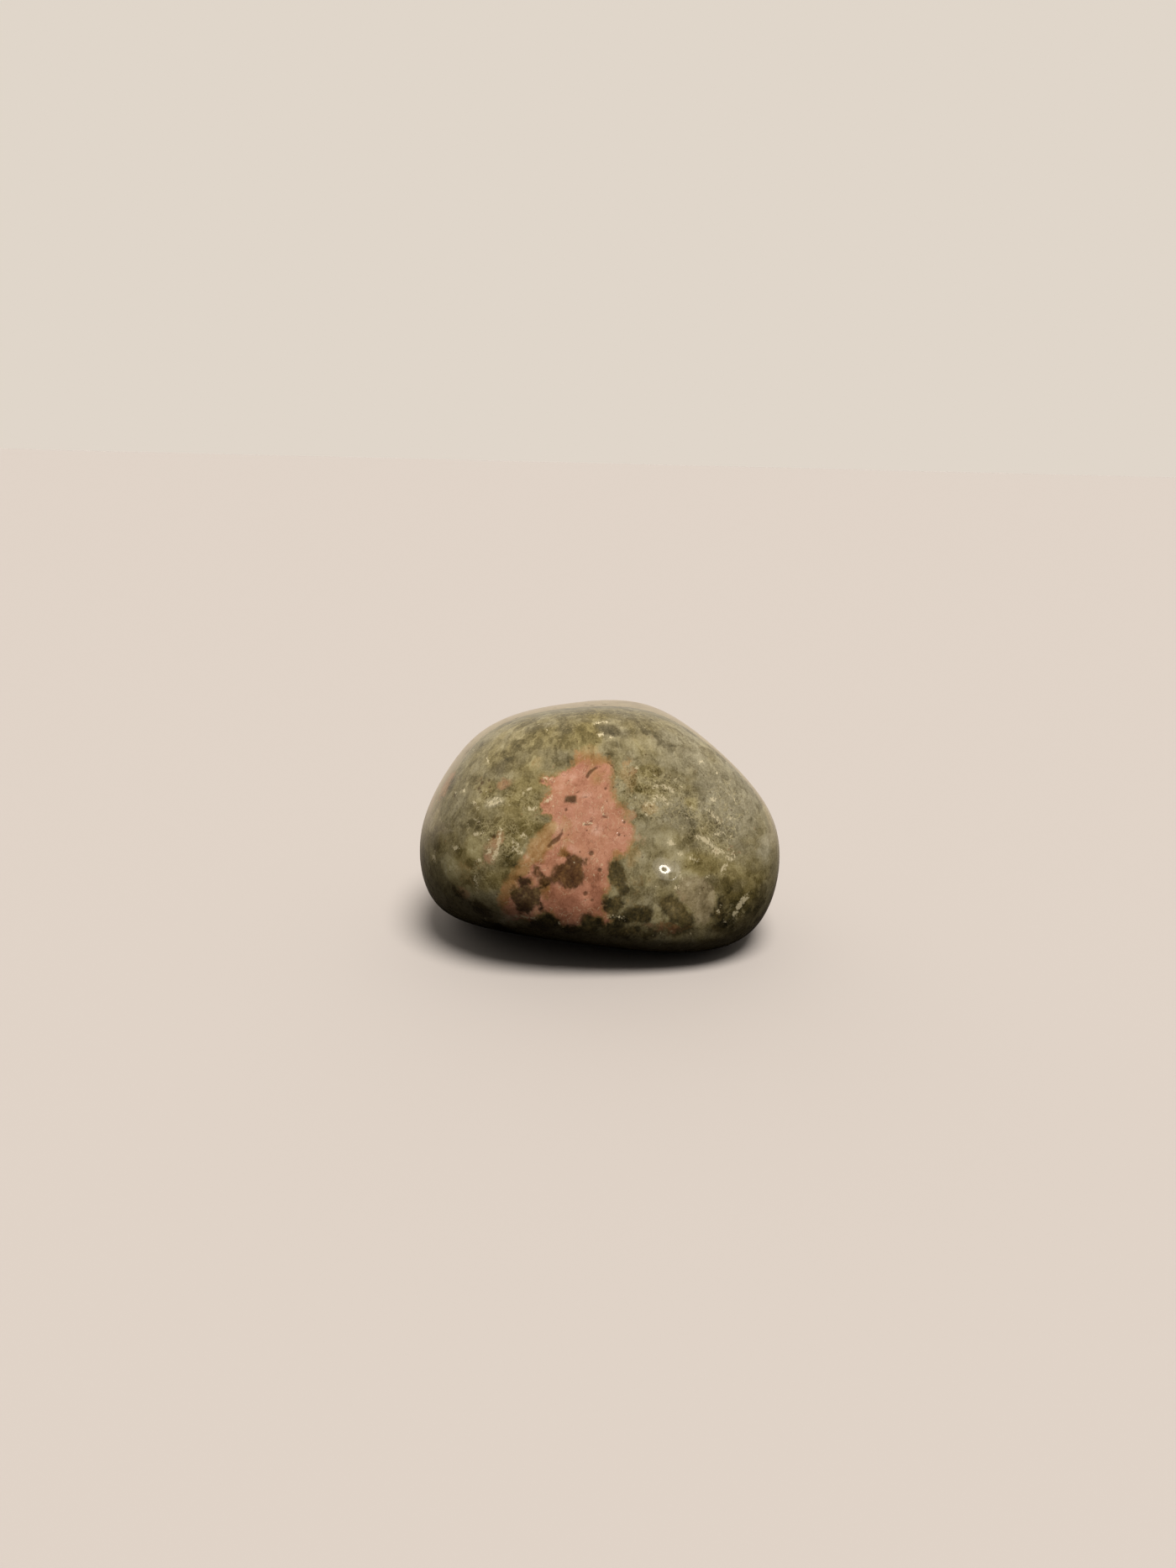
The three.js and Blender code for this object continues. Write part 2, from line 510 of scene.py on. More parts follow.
BIOTITE_OUTLINES = [
    # The large grain in the pink, with an arm to the left
    [(675, 1025), (672, 1029), (663, 1030), (659, 1037), (657, 1043), (650, 1046), (641, 1047),
     (640, 1051), (646, 1055), (652, 1054), (656, 1051), (668, 1050), (673, 1054), (679, 1057),
     (688, 1056), (694, 1051), (695, 1042), (694, 1033), (696, 1027), (699, 1024), (690, 1021),
     (685, 1019), (678, 1020)],
    # A hook to the left
    [(635, 1033), (639, 1033), (641, 1037), (647, 1041), (648, 1044), (642, 1044), (638, 1040)],
]
CHLORITE_OUTLINES = [
    # The group at the pink's lower left, and its darkest grain once more
    [(620, 1044), (631, 1046), (632, 1052), (628, 1056), (640, 1056), (644, 1061), (642, 1068),
     (643, 1076), (637, 1079), (634, 1086), (630, 1088), (619, 1087), (614, 1082), (612, 1073),
     (609, 1067), (608, 1060), (612, 1056), (617, 1058), (617, 1051), (616, 1048)],
    [(613, 1072), (625, 1072), (630, 1077), (631, 1087), (618, 1087), (614, 1081)],
    [(641, 1080), (644, 1080), (648, 1086), (645, 1088)],
    # To the right of the pink
    [(726, 1028), (733, 1025), (738, 1030), (742, 1037), (746, 1044), (745, 1051), (748, 1059),
     (743, 1066), (737, 1063), (731, 1058), (727, 1050), (725, 1039)],
    [(718, 1069), (730, 1070), (738, 1067), (739, 1072), (743, 1077), (738, 1083), (733, 1088),
     (730, 1095), (725, 1088), (719, 1083), (722, 1078), (718, 1074)],
    # Along the bottom
    [(742, 1081), (758, 1079), (773, 1081), (777, 1086), (775, 1094), (769, 1099), (752, 1098),
     (738, 1100), (729, 1097), (735, 1090), (741, 1086)],
    [(787, 1069), (796, 1066), (803, 1070), (812, 1075), (820, 1084), (827, 1095), (825, 1101),
     (812, 1101), (800, 1096), (791, 1090), (786, 1079)],
    [(855, 1066), (860, 1068), (862, 1080), (862, 1095), (853, 1096), (848, 1089), (853, 1080)],
    [(640, 1093), (648, 1087), (656, 1088), (662, 1094), (668, 1102), (650, 1106), (630, 1104),
     (634, 1096)],
    [(692, 1102), (694, 1092), (700, 1088), (704, 1090), (706, 1096), (711, 1091), (717, 1093),
     (718, 1104)],
]
VEIN_THINS_FROM, VEIN_THINNING = 104.0, 0.45
PLATE_THICKNESS, PLATE_THINNING = 2.0, 1.2


def loop_depth(loop):
    """How deep each point of the skin shows inside a loop of pixels, in mm; outside is negative."""
    within = np.zeros(len(pixels), bool)
    nearest = np.full(len(pixels), np.inf)
    x, y = pixels[:, 0], pixels[:, 1]
    for (x0, y0), (x1, y1) in zip(loop, loop[1:] + loop[:1]):
        run_x, run_y = x1 - x0, y1 - y0
        share = np.clip(((x - x0) * run_x + (y - y0) * run_y) / (run_x ** 2 + run_y ** 2), 0, 1)
        nearest = np.minimum(nearest, np.hypot(x - x0 - share * run_x, y - y0 - share * run_y))
        if run_y:
            crosses = (y0 > y) != (y1 > y)
            within ^= crosses & (x < x0 + (y - y0) * run_x / run_y)
    return np.where(within, nearest, -nearest) * MM_PER_PX


def plate_depth(loop):
    """The depth in a plate behind a loop, in mm. It thins out behind its thickness."""
    front = (on_skin(*np.mean(loop, axis=0)) - np.array(EYE)) @ np.array(FORWARD)
    behind = np.maximum(sight_distance - front - PLATE_THICKNESS, 0)
    return loop_depth(loop) - behind * PLATE_THINNING


vein = loop_depth(PINK_OUTLINE) - np.maximum(sight_distance - VEIN_THINS_FROM, 0) * VEIN_THINNING
quartz = plate_depth(QUARTZ_OUTLINE)
biotite = np.max([plate_depth(loop) for loop in BIOTITE_OUTLINES], axis=0)
chlorite = np.max([plate_depth(loop) for loop in CHLORITE_OUTLINES], axis=0)
print("points in the pink vein:", int((vein > 0).sum()))

# %% [markdown]
# The rest of the front's minerals, read from the picture mark by mark, with painted shade and glints
# among them. Each row is the pixel, the half width and half height in mm, and the turn in degrees,
# and a tint also has a strength. Marks of one kind are one table, because they become one field of the skin.

# %% Dark and pale marks, with painted shade and painted glints among them
# Painted shade: every mark but the first lies along the bottom edge or at the lower left, where it darkens
# the front towards the underside
CHLORITE_AND_SHADE_MARKS = [
    (642, 1060, 0.14, 0.24, -30), (600, 1106, 1.5, 0.4, -25), (740, 1107, 2.1, 0.5, -8),
    (857, 1102, 0.9, 0.5, 20), (688, 1106, 1.2, 0.3, 0), (572, 1082, 1.0, 0.40, -30),
    (545, 1062, 0.6, 0.3, -45),
]
PALE_LINES = [
    (0.13, [(829, 996), (835, 998), (842, 1001)]), (0.19, [(841, 1000), (843, 1003)]),
    (0.12, [(843, 1003), (850, 1009), (857, 1013), (861, 1015)]),
    (0.10, [(779, 950), (783, 948), (787, 951)]), (0.09, [(790, 950), (792, 953)]),
    (0.08, [(794, 957), (799, 957)]), (0.09, [(789, 935), (793, 938), (798, 939), (800, 943)]),
    (0.08, [(778, 937), (783, 936)]), (0.08, [(596, 986), (594, 1000), (592, 1014), (586, 1026)]),
    (0.08, [(580, 1016), (582, 1010), (584, 1014)]), (0.09, [(563, 955), (569, 962)]),
    (0.09, [(611, 1010), (615, 1014), (621, 1016)]), (0.03, [(720, 955), (717, 964), (718, 970)]),
    (0.03, [(694, 982), (699, 980), (706, 980)]), (0.05, [(648, 926), (656, 928)]),
    (0.06, [(648, 955), (653, 953), (657, 949)]), (0.07, [(849, 972), (853, 974), (856, 979)]),
    (0.07, [(851, 994), (856, 993), (862, 992)]),
    (0.07, [(866, 1017), (874, 1016), (875, 1021), (868, 1024), (865, 1019)]),
    (0.08, [(708, 861), (722, 860)]), (0.07, [(840, 963), (848, 969)]),
    (0.08, [(613, 1091), (625, 1092), (637, 1094)]),
    (0.07, [(822, 1020), (826, 1024), (831, 1024)]),
]
# Painted glints: the round dots of 0.09 mm or less are bright points where light catches a pit or a cleavage
# face; the other marks are pale grains
PALE_GRAINS_AND_GLINTS = [
    (584, 953, 0.24, 0.14, 0), (590, 952, 0.22, 0.14, 0), (587, 957, 0.4, 0.12, 0),
    (714, 876, 0.28, 0.16, 0), (730, 879, 0.17, 0.12, 0), (863, 1034, 0.20, 0.30, -35),
    (884, 1075, 0.24, 0.75, -38), (876, 1089, 0.16, 0.36, -10), (565, 979, 0.12, 0.10, 0),
    (571, 981, 0.10, 0.10, 0), (569, 993, 0.24, 0.10, 5), (623, 995, 0.24, 0.18, -20),
    (624, 999, 0.07, 0.07, 0), (616, 1006, 0.08, 0.1, 0), (800, 1004, 0.34, 0.20, 10),
    (812, 1043, 0.16, 0.30, 0), (804, 1057, 0.22, 0.12, -35), (823, 961, 0.09, 0.09, 0),
    (581, 906, 0.14, 0.14, 0), (856, 1084, 0.06, 0.16, -20), (768, 958, 0.14, 0.10, 20),
    (768, 970, 0.10, 0.08, 0), (835, 908, 0.16, 0.12, 0), (842, 1044, 0.09, 0.09, 0),
    (812, 1016, 0.09, 0.09, 0), (849, 951, 0.2, 0.2, 0), (872, 975, 0.12, 0.1, 0),
    (628, 941, 0.24, 0.16, 30), (516, 1018, 0.16, 0.4, 0), (542, 1010, 0.2, 0.16, 30),
    (761, 914, 0.14, 0.12, 0), (569, 1025, 0.14, 0.14, 0), (567, 1053, 0.08, 0.36, 0),
    (632, 963, 0.24, 0.12, 0), (521, 965, 0.14, 0.1, 0), (552, 942, 0.16, 0.1, 0),
    (577, 1093, 0.09, 0.09, 0), (604, 1093, 0.09, 0.09, 0), (667, 1099, 0.08, 0.08, 0),
    (544, 945, 0.1, 0.08, 0), (733, 1093, 0.3, 0.05, -15), (853, 1017, 0.3, 0.2, -30),
]
print("dark marks:", len(CHLORITE_AND_SHADE_MARKS), "pale ones:", len(PALE_LINES) + len(PALE_GRAINS_AND_GLINTS))

# %% Blushes and stains
# Where feldspar shows through the epidote without reaching the skin
BLUSHES = [
    (600, 932, 1.0, 0.60, 0, 0.35), (603, 934, 0.5, 0.35, 0, 0.4), (534, 930, 0.75, 1.00, -25, 0.8),
    (526, 944, 0.5, 1.0, -25, 0.6), (514, 957, 0.3, 1.2, -15, 0.7),
    (585, 1013, 0.75, 1.1, -25, 0.9), (590, 1003, 0.36, 0.25, 0, 0.6),
    (583, 1025, 0.45, 0.45, 0, 0.6), (597, 995, 0.4, 0.5, -20, 0.6), (748, 915, 0.65, 0.75, 0, 0.6),
    (757, 917, 0.45, 0.3, 0, 0.5), (763, 1002, 0.5, 0.8, 0, 0.6), (751, 970, 0.45, 0.50, 0, 1.0),
    (797, 1104, 2.2, 0.50, -6, 0.7), (853, 1017, 0.4, 0.36, 0, 0.6),
    (874, 1012, 0.6, 0.4, -10, 0.5), (552, 1063, 0.6, 0.55, 0, 0.9), (572, 1034, 0.45, 0.4, 0, 0.5),
    (656, 914, 0.5, 0.4, 0, 0.4), (813, 1070, 0.3, 0.8, 30, 0.5), (630, 968, 0.9, 0.4, 10, 0.4),
]
# Where iron has stained the rock
OCHRES = [
    (650, 990, 0.45, 0.8, -35, 1.1), (640, 1006, 0.70, 1.1, -30, 1.1),
    (641, 1018, 0.7, 0.6, -30, 0.6), (625, 1034, 0.45, 1.0, -38, 0.9),
    (608, 1055, 0.60, 0.9, -38, 1.0), (652, 1014, 0.5, 0.5, 0, 0.4), (648, 1060, 0.45, 0.8, 0, 0.9),
    (600, 1070, 0.4, 0.6, 0, 0.6), (657, 1004, 0.4, 0.6, -40, 0.5), (701, 893, 0.75, 0.45, 0, 1.0),
    (750, 933, 0.65, 0.9, 0, 0.9), (773, 962, 0.70, 0.60, 0, 1.1), (757, 1076, 0.9, 0.25, -15, 0.7),
    (715, 905, 0.8, 0.4, 0, 0.6), (740, 922, 0.5, 0.5, 0, 0.8), (632, 1050, 0.3, 0.4, 0, 0.6),
    (712, 925, 1.0, 0.7, 0, 0.4), (635, 908, 0.6, 0.5, 0, 0.6), (821, 1105, 0.5, 0.3, 0, 0.8),
    (676, 985, 0.6, 0.9, 0, 0.4), (755, 1020, 0.55, 0.85, 0, 1.0), (552, 1032, 0.4, 0.3, 0, 0.6),
    (616, 1038, 0.5, 0.6, -35, 0.6), (735, 1020, 0.4, 0.5, 0, 0.5), (700, 905, 1.3, 0.5, 0, 0.4),
    (748, 915, 0.7, 0.8, 0, 0.6), (671, 1015, 0.6, 0.35, -10, 0.8), (660, 986, 0.6, 0.5, 0, 0.4),
    (672, 1004, 0.6, 0.4, 0, 0.4), (758, 1050, 0.6, 0.8, 0, 0.6), (556, 1040, 1.3, 1.0, -30, 0.5),
]
print("blushes:", len(BLUSHES), "stains:", len(OCHRES))

# %% Paler and darker fields, some of them painted shade
# Positive is paler, negative is darker. Most rows are the rock's own tone, and some are painted shade
# Painted shade: the broad dark rows over the crown make the top darker than the key lamp leaves it, and the
# rows low on the front darken it towards the underside
TONES_AND_PAINTED_SHADE = [
    (736, 852, 1.35, 0.68, -3, -0.06), (712, 850, 0.9, 0.5, 0, -0.08),
    (710, 842, 0.50, 0.2, 0, -0.12), (728, 870, 0.70, 0.38, -5, -0.34),
    (749, 872, 0.60, 0.45, 20, -0.16), (701, 873, 0.8, 0.75, 0, -0.05),
    (776, 872, 1.10, 0.55, -5, -0.18), (756, 893, 0.8, 0.55, 0, 0.03),
    (735, 888, 0.50, 0.3, 20, -0.18), (668, 853, 0.5, 0.4, 0, -0.08),
    (693, 852, 0.5, 0.35, 0, -0.08), (621, 884, 0.65, 0.32, 15, -0.22),
    (613, 891, 0.4, 0.3, 0, -0.14), (578, 885, 0.60, 0.30, 15, -0.18),
    (572, 892, 0.55, 0.24, 10, -0.10), (598, 891, 0.60, 0.24, 5, 0.08),
    (603, 897, 0.50, 0.16, 10, -0.16), (608, 905, 0.5, 0.32, 10, -0.18),
    (596, 915, 0.90, 0.42, 5, -0.16), (614, 914, 0.6, 0.28, 0, -0.12),
    (635, 908, 0.7, 0.5, 0, 0.06), (679, 908, 0.30, 0.42, 0, -0.14),
    (666, 912, 0.36, 0.15, 0, -0.18), (655, 903, 0.6, 0.5, 0, -0.06),
    (548, 917, 0.30, 0.28, 0, -0.12), (562, 926, 0.70, 0.42, 10, -0.13),
    (582, 937, 0.76, 0.76, 0, -0.16), (608, 943, 0.52, 0.45, 0, -0.17),
    (545, 962, 1.05, 0.65, 5, -0.05), (561, 961, 0.4, 0.28, 30, -0.18),
    (566, 972, 0.60, 0.34, -10, -0.18), (582, 955, 1.2, 0.5, 0, 0.13),
    (579, 978, 0.95, 0.28, 8, -0.17), (556, 981, 0.90, 0.26, -5, -0.22),
    (570, 988, 0.5, 0.28, 0, -0.24), (532, 988, 1.0, 0.5, 0, -0.12),
    (563, 1009, 0.62, 0.8, 0, 0.22), (551, 1018, 0.8, 0.55, -20, -0.13),
    (561, 1028, 0.55, 0.5, -30, -0.22), (522, 1009, 0.8, 0.32, 0, -0.15),
    (574, 1038, 0.5, 0.3, 0, -0.10), (605, 1019, 0.50, 0.95, -25, -0.21),
    (613, 1030, 0.45, 0.42, -30, -0.30), (603, 1044, 0.32, 0.5, -25, -0.22),
    (634, 986, 0.95, 0.55, -20, -0.20), (642, 984, 0.4, 0.36, -40, -0.12),
    (610, 990, 0.5, 0.6, -20, -0.10), (612, 957, 0.60, 0.24, 8, -0.14),
    (590, 1053, 0.8, 0.5, -20, -0.06), (617, 972, 0.24, 0.3, 0, -0.16),
    (558, 1046, 0.7, 0.6, 0, -0.10), (648, 957, 0.26, 0.16, 20, -0.2),
    (775, 919, 0.90, 0.53, 3, -0.13), (800, 918, 0.7, 0.36, 0, -0.08),
    (767, 939, 0.9, 0.34, 5, -0.16), (784, 932, 0.36, 0.15, -20, -0.20),
    (790, 943, 0.34, 0.24, 0, -0.18), (759, 963, 0.3, 0.12, 20, -0.26),
    (760, 972, 0.30, 0.28, 0, -0.18), (738, 965, 0.42, 0.4, 0, -0.12),
    (795, 966, 0.95, 0.5, -10, -0.08), (819, 976, 0.70, 0.60, -20, -0.12),
    (822, 939, 0.5, 0.55, -30, -0.06), (824, 956, 0.4, 0.4, 0, 0.12),
    (840, 980, 0.70, 0.90, -15, -0.13), (825, 989, 0.3, 0.2, 0, -0.24),
    (812, 951, 0.22, 0.14, 0, -0.22), (836, 953, 0.36, 0.12, -20, -0.18),
    (876, 957, 0.36, 0.28, 0, -0.14), (893, 978, 0.22, 0.2, 0, -0.20),
    (763, 1002, 0.5, 0.85, 0, 0.04), (779, 1005, 0.15, 0.5, 10, -0.22),
    (791, 998, 0.9, 0.9, 0, 0.08), (822, 1003, 0.8, 0.7, -20, -0.16),
    (834, 1025, 1.2, 0.8, -15, -0.08), (860, 1052, 1.3, 0.6, -10, -0.20),
    (907, 1037, 0.45, 0.4, 0, -0.18), (911, 1011, 0.5, 1.15, 5, 0.22),
    (893, 1047, 0.8, 0.3, -10, -0.05), (880, 1090, 2.0, 2.0, 25, -0.34),
    (905, 1065, 0.8, 1.4, 15, -0.2), (758, 1062, 0.6, 0.55, 0, -0.23),
    (790, 1051, 0.3, 0.3, 0, -0.16), (770, 1030, 0.4, 0.5, 0, -0.10),
    (756, 903, 0.26, 0.08, 5, -0.24), (812, 890, 0.7, 0.3, -20, -0.10),
    (826, 893, 0.3, 0.3, -40, -0.14), (800, 888, 0.30, 0.16, 0, -0.16),
    (765, 897, 0.3, 0.2, 0, -0.12), (850, 945, 0.5, 0.3, -20, -0.08),
    (765, 993, 0.3, 0.2, 0, -0.12), (862, 925, 0.3, 0.5, 30, -0.10),
    (850, 1032, 0.6, 0.4, 0, -0.06), (725, 898, 0.30, 0.15, -20, -0.25),
    (725, 902, 0.14, 0.2, 0, -0.2), (785, 885, 0.2, 0.14, 0, -0.2), (700, 846, 9.0, 1.6, 0, -0.08),
    (655, 884, 2.2, 1.0, 10, -0.07), (773, 962, 0.80, 0.55, 20, 0.18),
    (751, 968, 0.5, 0.7, 0, 0.10), (790, 1000, 0.85, 0.65, 0, 0.20), (835, 976, 1.1, 0.8, 0, 0.10),
    (634, 986, 0.66, 0.5, -20, 0.16), (582, 937, 0.6, 0.6, 0, 0.10),
    (535, 1034, 1.0, 0.85, -15, 0.24), (560, 1066, 1.2, 0.6, -30, 0.12),
    (701, 894, 0.9, 0.4, 0, 0.06), (690, 908, 2.0, 0.5, 0, -0.04), (880, 1052, 0.9, 0.9, 0, -0.08),
    (760, 1089, 0.9, 0.4, 0, -0.10), (796, 1105, 2.1, 0.56, -6, -0.45),
    (838, 1076, 0.5, 0.9, 0, -0.05), (890, 1062, 0.6, 0.6, 0, -0.10),
    (832, 1060, 0.3, 0.5, 20, -0.12), (842, 1082, 0.3, 0.3, 0, -0.12),
    (820, 1056, 0.5, 0.2, -30, 0.08), (808, 1088, 0.8, 0.5, -30, 0.12),
    (885, 1100, 1.0, 0.7, 30, 0.12), (857, 1085, 0.36, 0.6, 0, 0.20), (748, 914, 0.5, 0.5, 0, 0.12),
    (587, 1012, 0.4, 0.8, -20, 0.12), (825, 900, 0.9, 0.7, -30, 0.05),
    (770, 1045, 0.9, 0.7, 0, 0.09), (748, 932, 0.16, 0.5, 30, 0.16),
    (755, 925, 0.5, 0.14, -20, 0.14), (744, 940, 0.4, 0.12, 30, -0.16),
    (760, 950, 0.5, 0.12, 10, 0.14), (802, 1016, 0.8, 0.7, 0, 0.16),
    (803, 1000, 0.75, 0.55, 0, 0.13), (845, 955, 1.0, 0.8, 0, 0.12), (790, 960, 1.2, 0.6, 0, 0.10),
    (872, 970, 1.0, 1.0, 0, 0.12), (765, 990, 0.6, 0.8, 0, 0.12), (740, 922, 0.5, 1.2, 0, 0.10),
    (590, 1090, 1.0, 0.5, 0, 0.16), (533, 933, 0.9, 1.2, -25, -0.20),
    (765, 1020, 0.6, 0.6, 0, 0.24), (519, 1000, 0.7, 0.8, 0, -0.14),
    (870, 1070, 0.9, 0.8, 0, -0.10), (885, 1050, 0.8, 0.6, 0, -0.05),
    (600, 960, 0.9, 0.5, 0, -0.14), (818, 1060, 0.6, 0.6, 0, 0.07), (811, 1026, 0.9, 1.2, 0, 0.14),
    (625, 972, 1.0, 0.6, 0, 0.10), (578, 1082, 0.8, 0.5, 0, 0.10), (888, 1000, 0.9, 0.7, 0, 0.10),
    (737, 1098, 0.95, 0.34, 0, -0.36), (736, 1046, 0.5, 0.8, 0, -0.06),
    (820, 1045, 1.0, 0.8, 0, 0.18), (607, 1095, 0.95, 0.44, 0, 0.38),
    (800, 1024, 1.0, 0.8, 0, 0.08), (820, 952, 0.7, 0.4, 0, 0.10), (560, 940, 1.2, 0.8, -20, 0.05),
    (609, 950, 0.7, 0.6, 0, 0.08), (715, 1098, 0.5, 0.3, 0, -0.14), (640, 870, 1.1, 0.6, 0, -0.10),
    (680, 865, 1.1, 0.6, 0, -0.12), (760, 860, 1.0, 0.5, 0, -0.08), (800, 875, 0.8, 0.5, 0, 0.08),
    (780, 1104, 0.8, 0.4, 0, 0.12), (797, 1045, 0.8, 0.7, 0, 0.12), (800, 985, 1.3, 0.7, -20, 0.08),
    # In the pink; its first three rows are painted shade, darker towards the bottom
    (671, 1081, 1.7, 1.4, 0, -0.36), (711, 1073, 0.9, 1.9, 0, -0.36),
    (708, 1041, 0.7, 0.7, 0, -0.20), (692, 1064, 0.6, 0.7, 0, -0.08),
    (651, 1021, 0.7, 0.5, 0, -0.21), (742, 997, 0.5, 0.6, 0, 0.07), (690, 1044, 0.8, 0.9, 0, -0.10),
    (671, 1016, 0.6, 0.35, -10, -0.24), (726, 955, 0.4, 0.7, 0, 0.12),
    (660, 986, 0.6, 0.55, 0, 0.28), (690, 986, 0.6, 0.5, 0, 0.10), (690, 930, 0.5, 0.3, 0, -0.10),
    (662, 1034, 0.8, 0.5, 0, -0.08), (677, 924, 0.55, 0.42, 0, 0.16),
    (665, 923, 0.4, 0.16, 10, 0.14), (664, 937, 0.65, 0.22, 5, 0.18),
    (696, 946, 0.40, 0.22, 15, 0.24), (706, 969, 0.50, 0.30, 0, 0.14),
    (711, 988, 0.55, 0.35, -25, 0.22), (681, 933, 0.50, 0.20, 10, -0.10),
    (689, 994, 0.45, 0.9, 0, -0.12), (712, 998, 0.50, 0.20, -10, -0.10),
    (684, 1010, 0.45, 0.3, 0, 0.16), (698, 1073, 0.5, 0.45, 0, 0.16),
    (640, 1029, 0.5, 0.45, 0, -0.08), (627, 1020, 0.2, 0.6, -20, 0.14),
    (666, 1022, 0.6, 0.5, 0, 0.05), (676, 1016, 0.5, 0.3, -20, -0.16),
    (655, 1000, 0.4, 0.3, 45, 0.06), (603, 1078, 0.5, 0.8, 0, -0.20),
    (620, 1093, 0.9, 0.2, 0, -0.05), (719, 1055, 0.5, 0.3, 0, 0.10), (723, 1094, 0.2, 0.5, 0, 0.06),
    (700, 908, 1.0, 0.5, 0, -0.10), (640, 1006, 0.6, 0.9, -30, 0.14),
    (655, 1061, 0.62, 0.42, 5, -0.26), (612, 1048, 0.4, 0.6, -35, -0.14),
    (636, 1000, 0.14, 0.6, -35, 0.16), (644, 1003, 0.12, 0.5, -35, -0.20),
    (637, 1014, 0.5, 0.12, 30, -0.16), (648, 990, 0.3, 0.3, 0, 0.10),
    (650, 1022, 0.4, 0.12, 20, 0.14), (643, 1026, 0.3, 0.1, -20, -0.18),
    # In the dark grains
    (624, 1049, 0.6, 0.4, 0, -0.22), (678, 1034, 0.26, 0.14, -30, 0.30),
    (674, 1045, 0.14, 0.14, 0, 0.25), (626, 1054, 0.12, 0.1, 0, 0.4),
    (622, 1069, 0.34, 0.10, 5, 0.35), (690, 1027, 0.60, 0.5, 0, 0.14),
    (622, 1081, 0.55, 0.5, 0, -0.30), (650, 1050, 0.60, 0.25, 10, 0.10),
    (640, 1068, 0.30, 0.6, 0, 0.14), (737, 1048, 0.5, 0.9, 0, 0.16), (733, 1062, 0.3, 0.3, 0, 0.2),
    (728, 1086, 0.3, 0.3, 0, 0.14), (800, 1075, 0.8, 0.4, -10, 0.10),
    (806, 1088, 1.2, 0.8, -30, 0.14), (865, 1085, 0.3, 0.8, 0, 0.1),
]
print("paler and darker fields:", len(TONES_AND_PAINTED_SHADE))

# %% Where the pattern changes
# Where the epidote is yellower, or with a minus greyer
YELLOWS = [
    (548, 1040, 1.5, 1.2, -30, 0.5), (585, 1052, 1.0, 0.8, 0, 0.5), (712, 850, 1.0, 0.6, 0, 0.5),
    (736, 852, 1.4, 0.8, 0, -0.2), (701, 874, 0.9, 0.9, 0, 1.0), (690, 884, 1.6, 0.7, 0, 0.4),
    (834, 1028, 1.5, 0.9, -15, 0.8), (880, 1060, 2.2, 2.0, 20, 0.5), (634, 985, 1.0, 0.7, 0, 0.5),
    (620, 950, 1.4, 1.6, 0, 0.4), (870, 950, 2.6, 3.4, 20, -0.7), (911, 1010, 0.6, 1.2, 0, -0.6),
    (880, 1054, 0.7, 0.6, 0, -0.5), (587, 955, 0.8, 0.5, 0, -0.6), (810, 890, 2.4, 1.8, -30, -0.5),
    (590, 895, 2.0, 1.2, 20, 0.15), (545, 963, 1.2, 0.9, 0, -0.1), (582, 938, 0.8, 0.8, 0, 0.5),
    (598, 958, 1.6, 0.6, 0, 0.3), (805, 970, 1.8, 1.0, -20, -0.6), (555, 1022, 1.1, 0.9, 0, 0.5),
    (605, 1025, 0.9, 2.0, -26, 0.4), (775, 919, 1.0, 0.6, 0, 0.5), (755, 893, 1.0, 0.7, 0, 0.1),
    (823, 956, 0.6, 0.5, 0, 0.6), (838, 980, 0.9, 1.0, 0, 0.1), (563, 1008, 0.7, 0.9, 0, 0.4),
    (765, 940, 1.0, 0.5, 0, 0.5), (730, 870, 1.2, 0.5, 0, -0.5), (540, 1000, 1.6, 1.6, 0, 0.1),
    (600, 985, 2.2, 1.4, 0, 0.3), (630, 930, 1.2, 1.6, 0, 0.3), (650, 880, 2.0, 1.0, 0, 0.3),
    (808, 1082, 0.9, 1.2, 0, 0.4),
]
# Where a net of pale seams runs through the epidote
SEAMED = [
    (800, 952, 2.6, 1.8, -25, 1.0), (845, 1000, 2.0, 1.6, -30, 0.9), (770, 950, 1.4, 2.4, 0, 0.7),
    (600, 1000, 1.8, 1.8, -20, 0.9), (595, 950, 2.2, 1.0, 0, 0.7), (865, 960, 1.8, 2.8, 20, 0.7),
    (635, 965, 0.9, 1.6, 0, 0.7), (570, 985, 2.0, 0.8, 0, 0.6), (745, 930, 1.0, 1.6, 0, 0.8),
    (870, 1090, 1.2, 1.4, 20, 0.6), (575, 1040, 1.6, 1.2, -20, 0.6), (770, 1030, 1.8, 1.8, 0, 0.3),
]
# Where the pink melts into the green instead of ending at an edge
MELTING = [
    (708, 899, 1.9, 0.7, 0, 1.0), (733, 925, 0.8, 1.7, 0, 0.8), (743, 965, 0.7, 0.8, 0, 0.6),
    (752, 1000, 0.7, 1.2, 0, 0.8), (640, 1005, 0.9, 1.6, -35, 0.9), (612, 1045, 0.8, 1.2, -35, 0.9),
    (600, 1085, 0.8, 1.0, 0, 1.0), (650, 1055, 0.9, 0.7, 0, 0.5), (725, 1075, 0.6, 1.6, 0, 0.4),
]
print("changes of the pattern:", len(YELLOWS) + len(SEAMED) + len(MELTING))

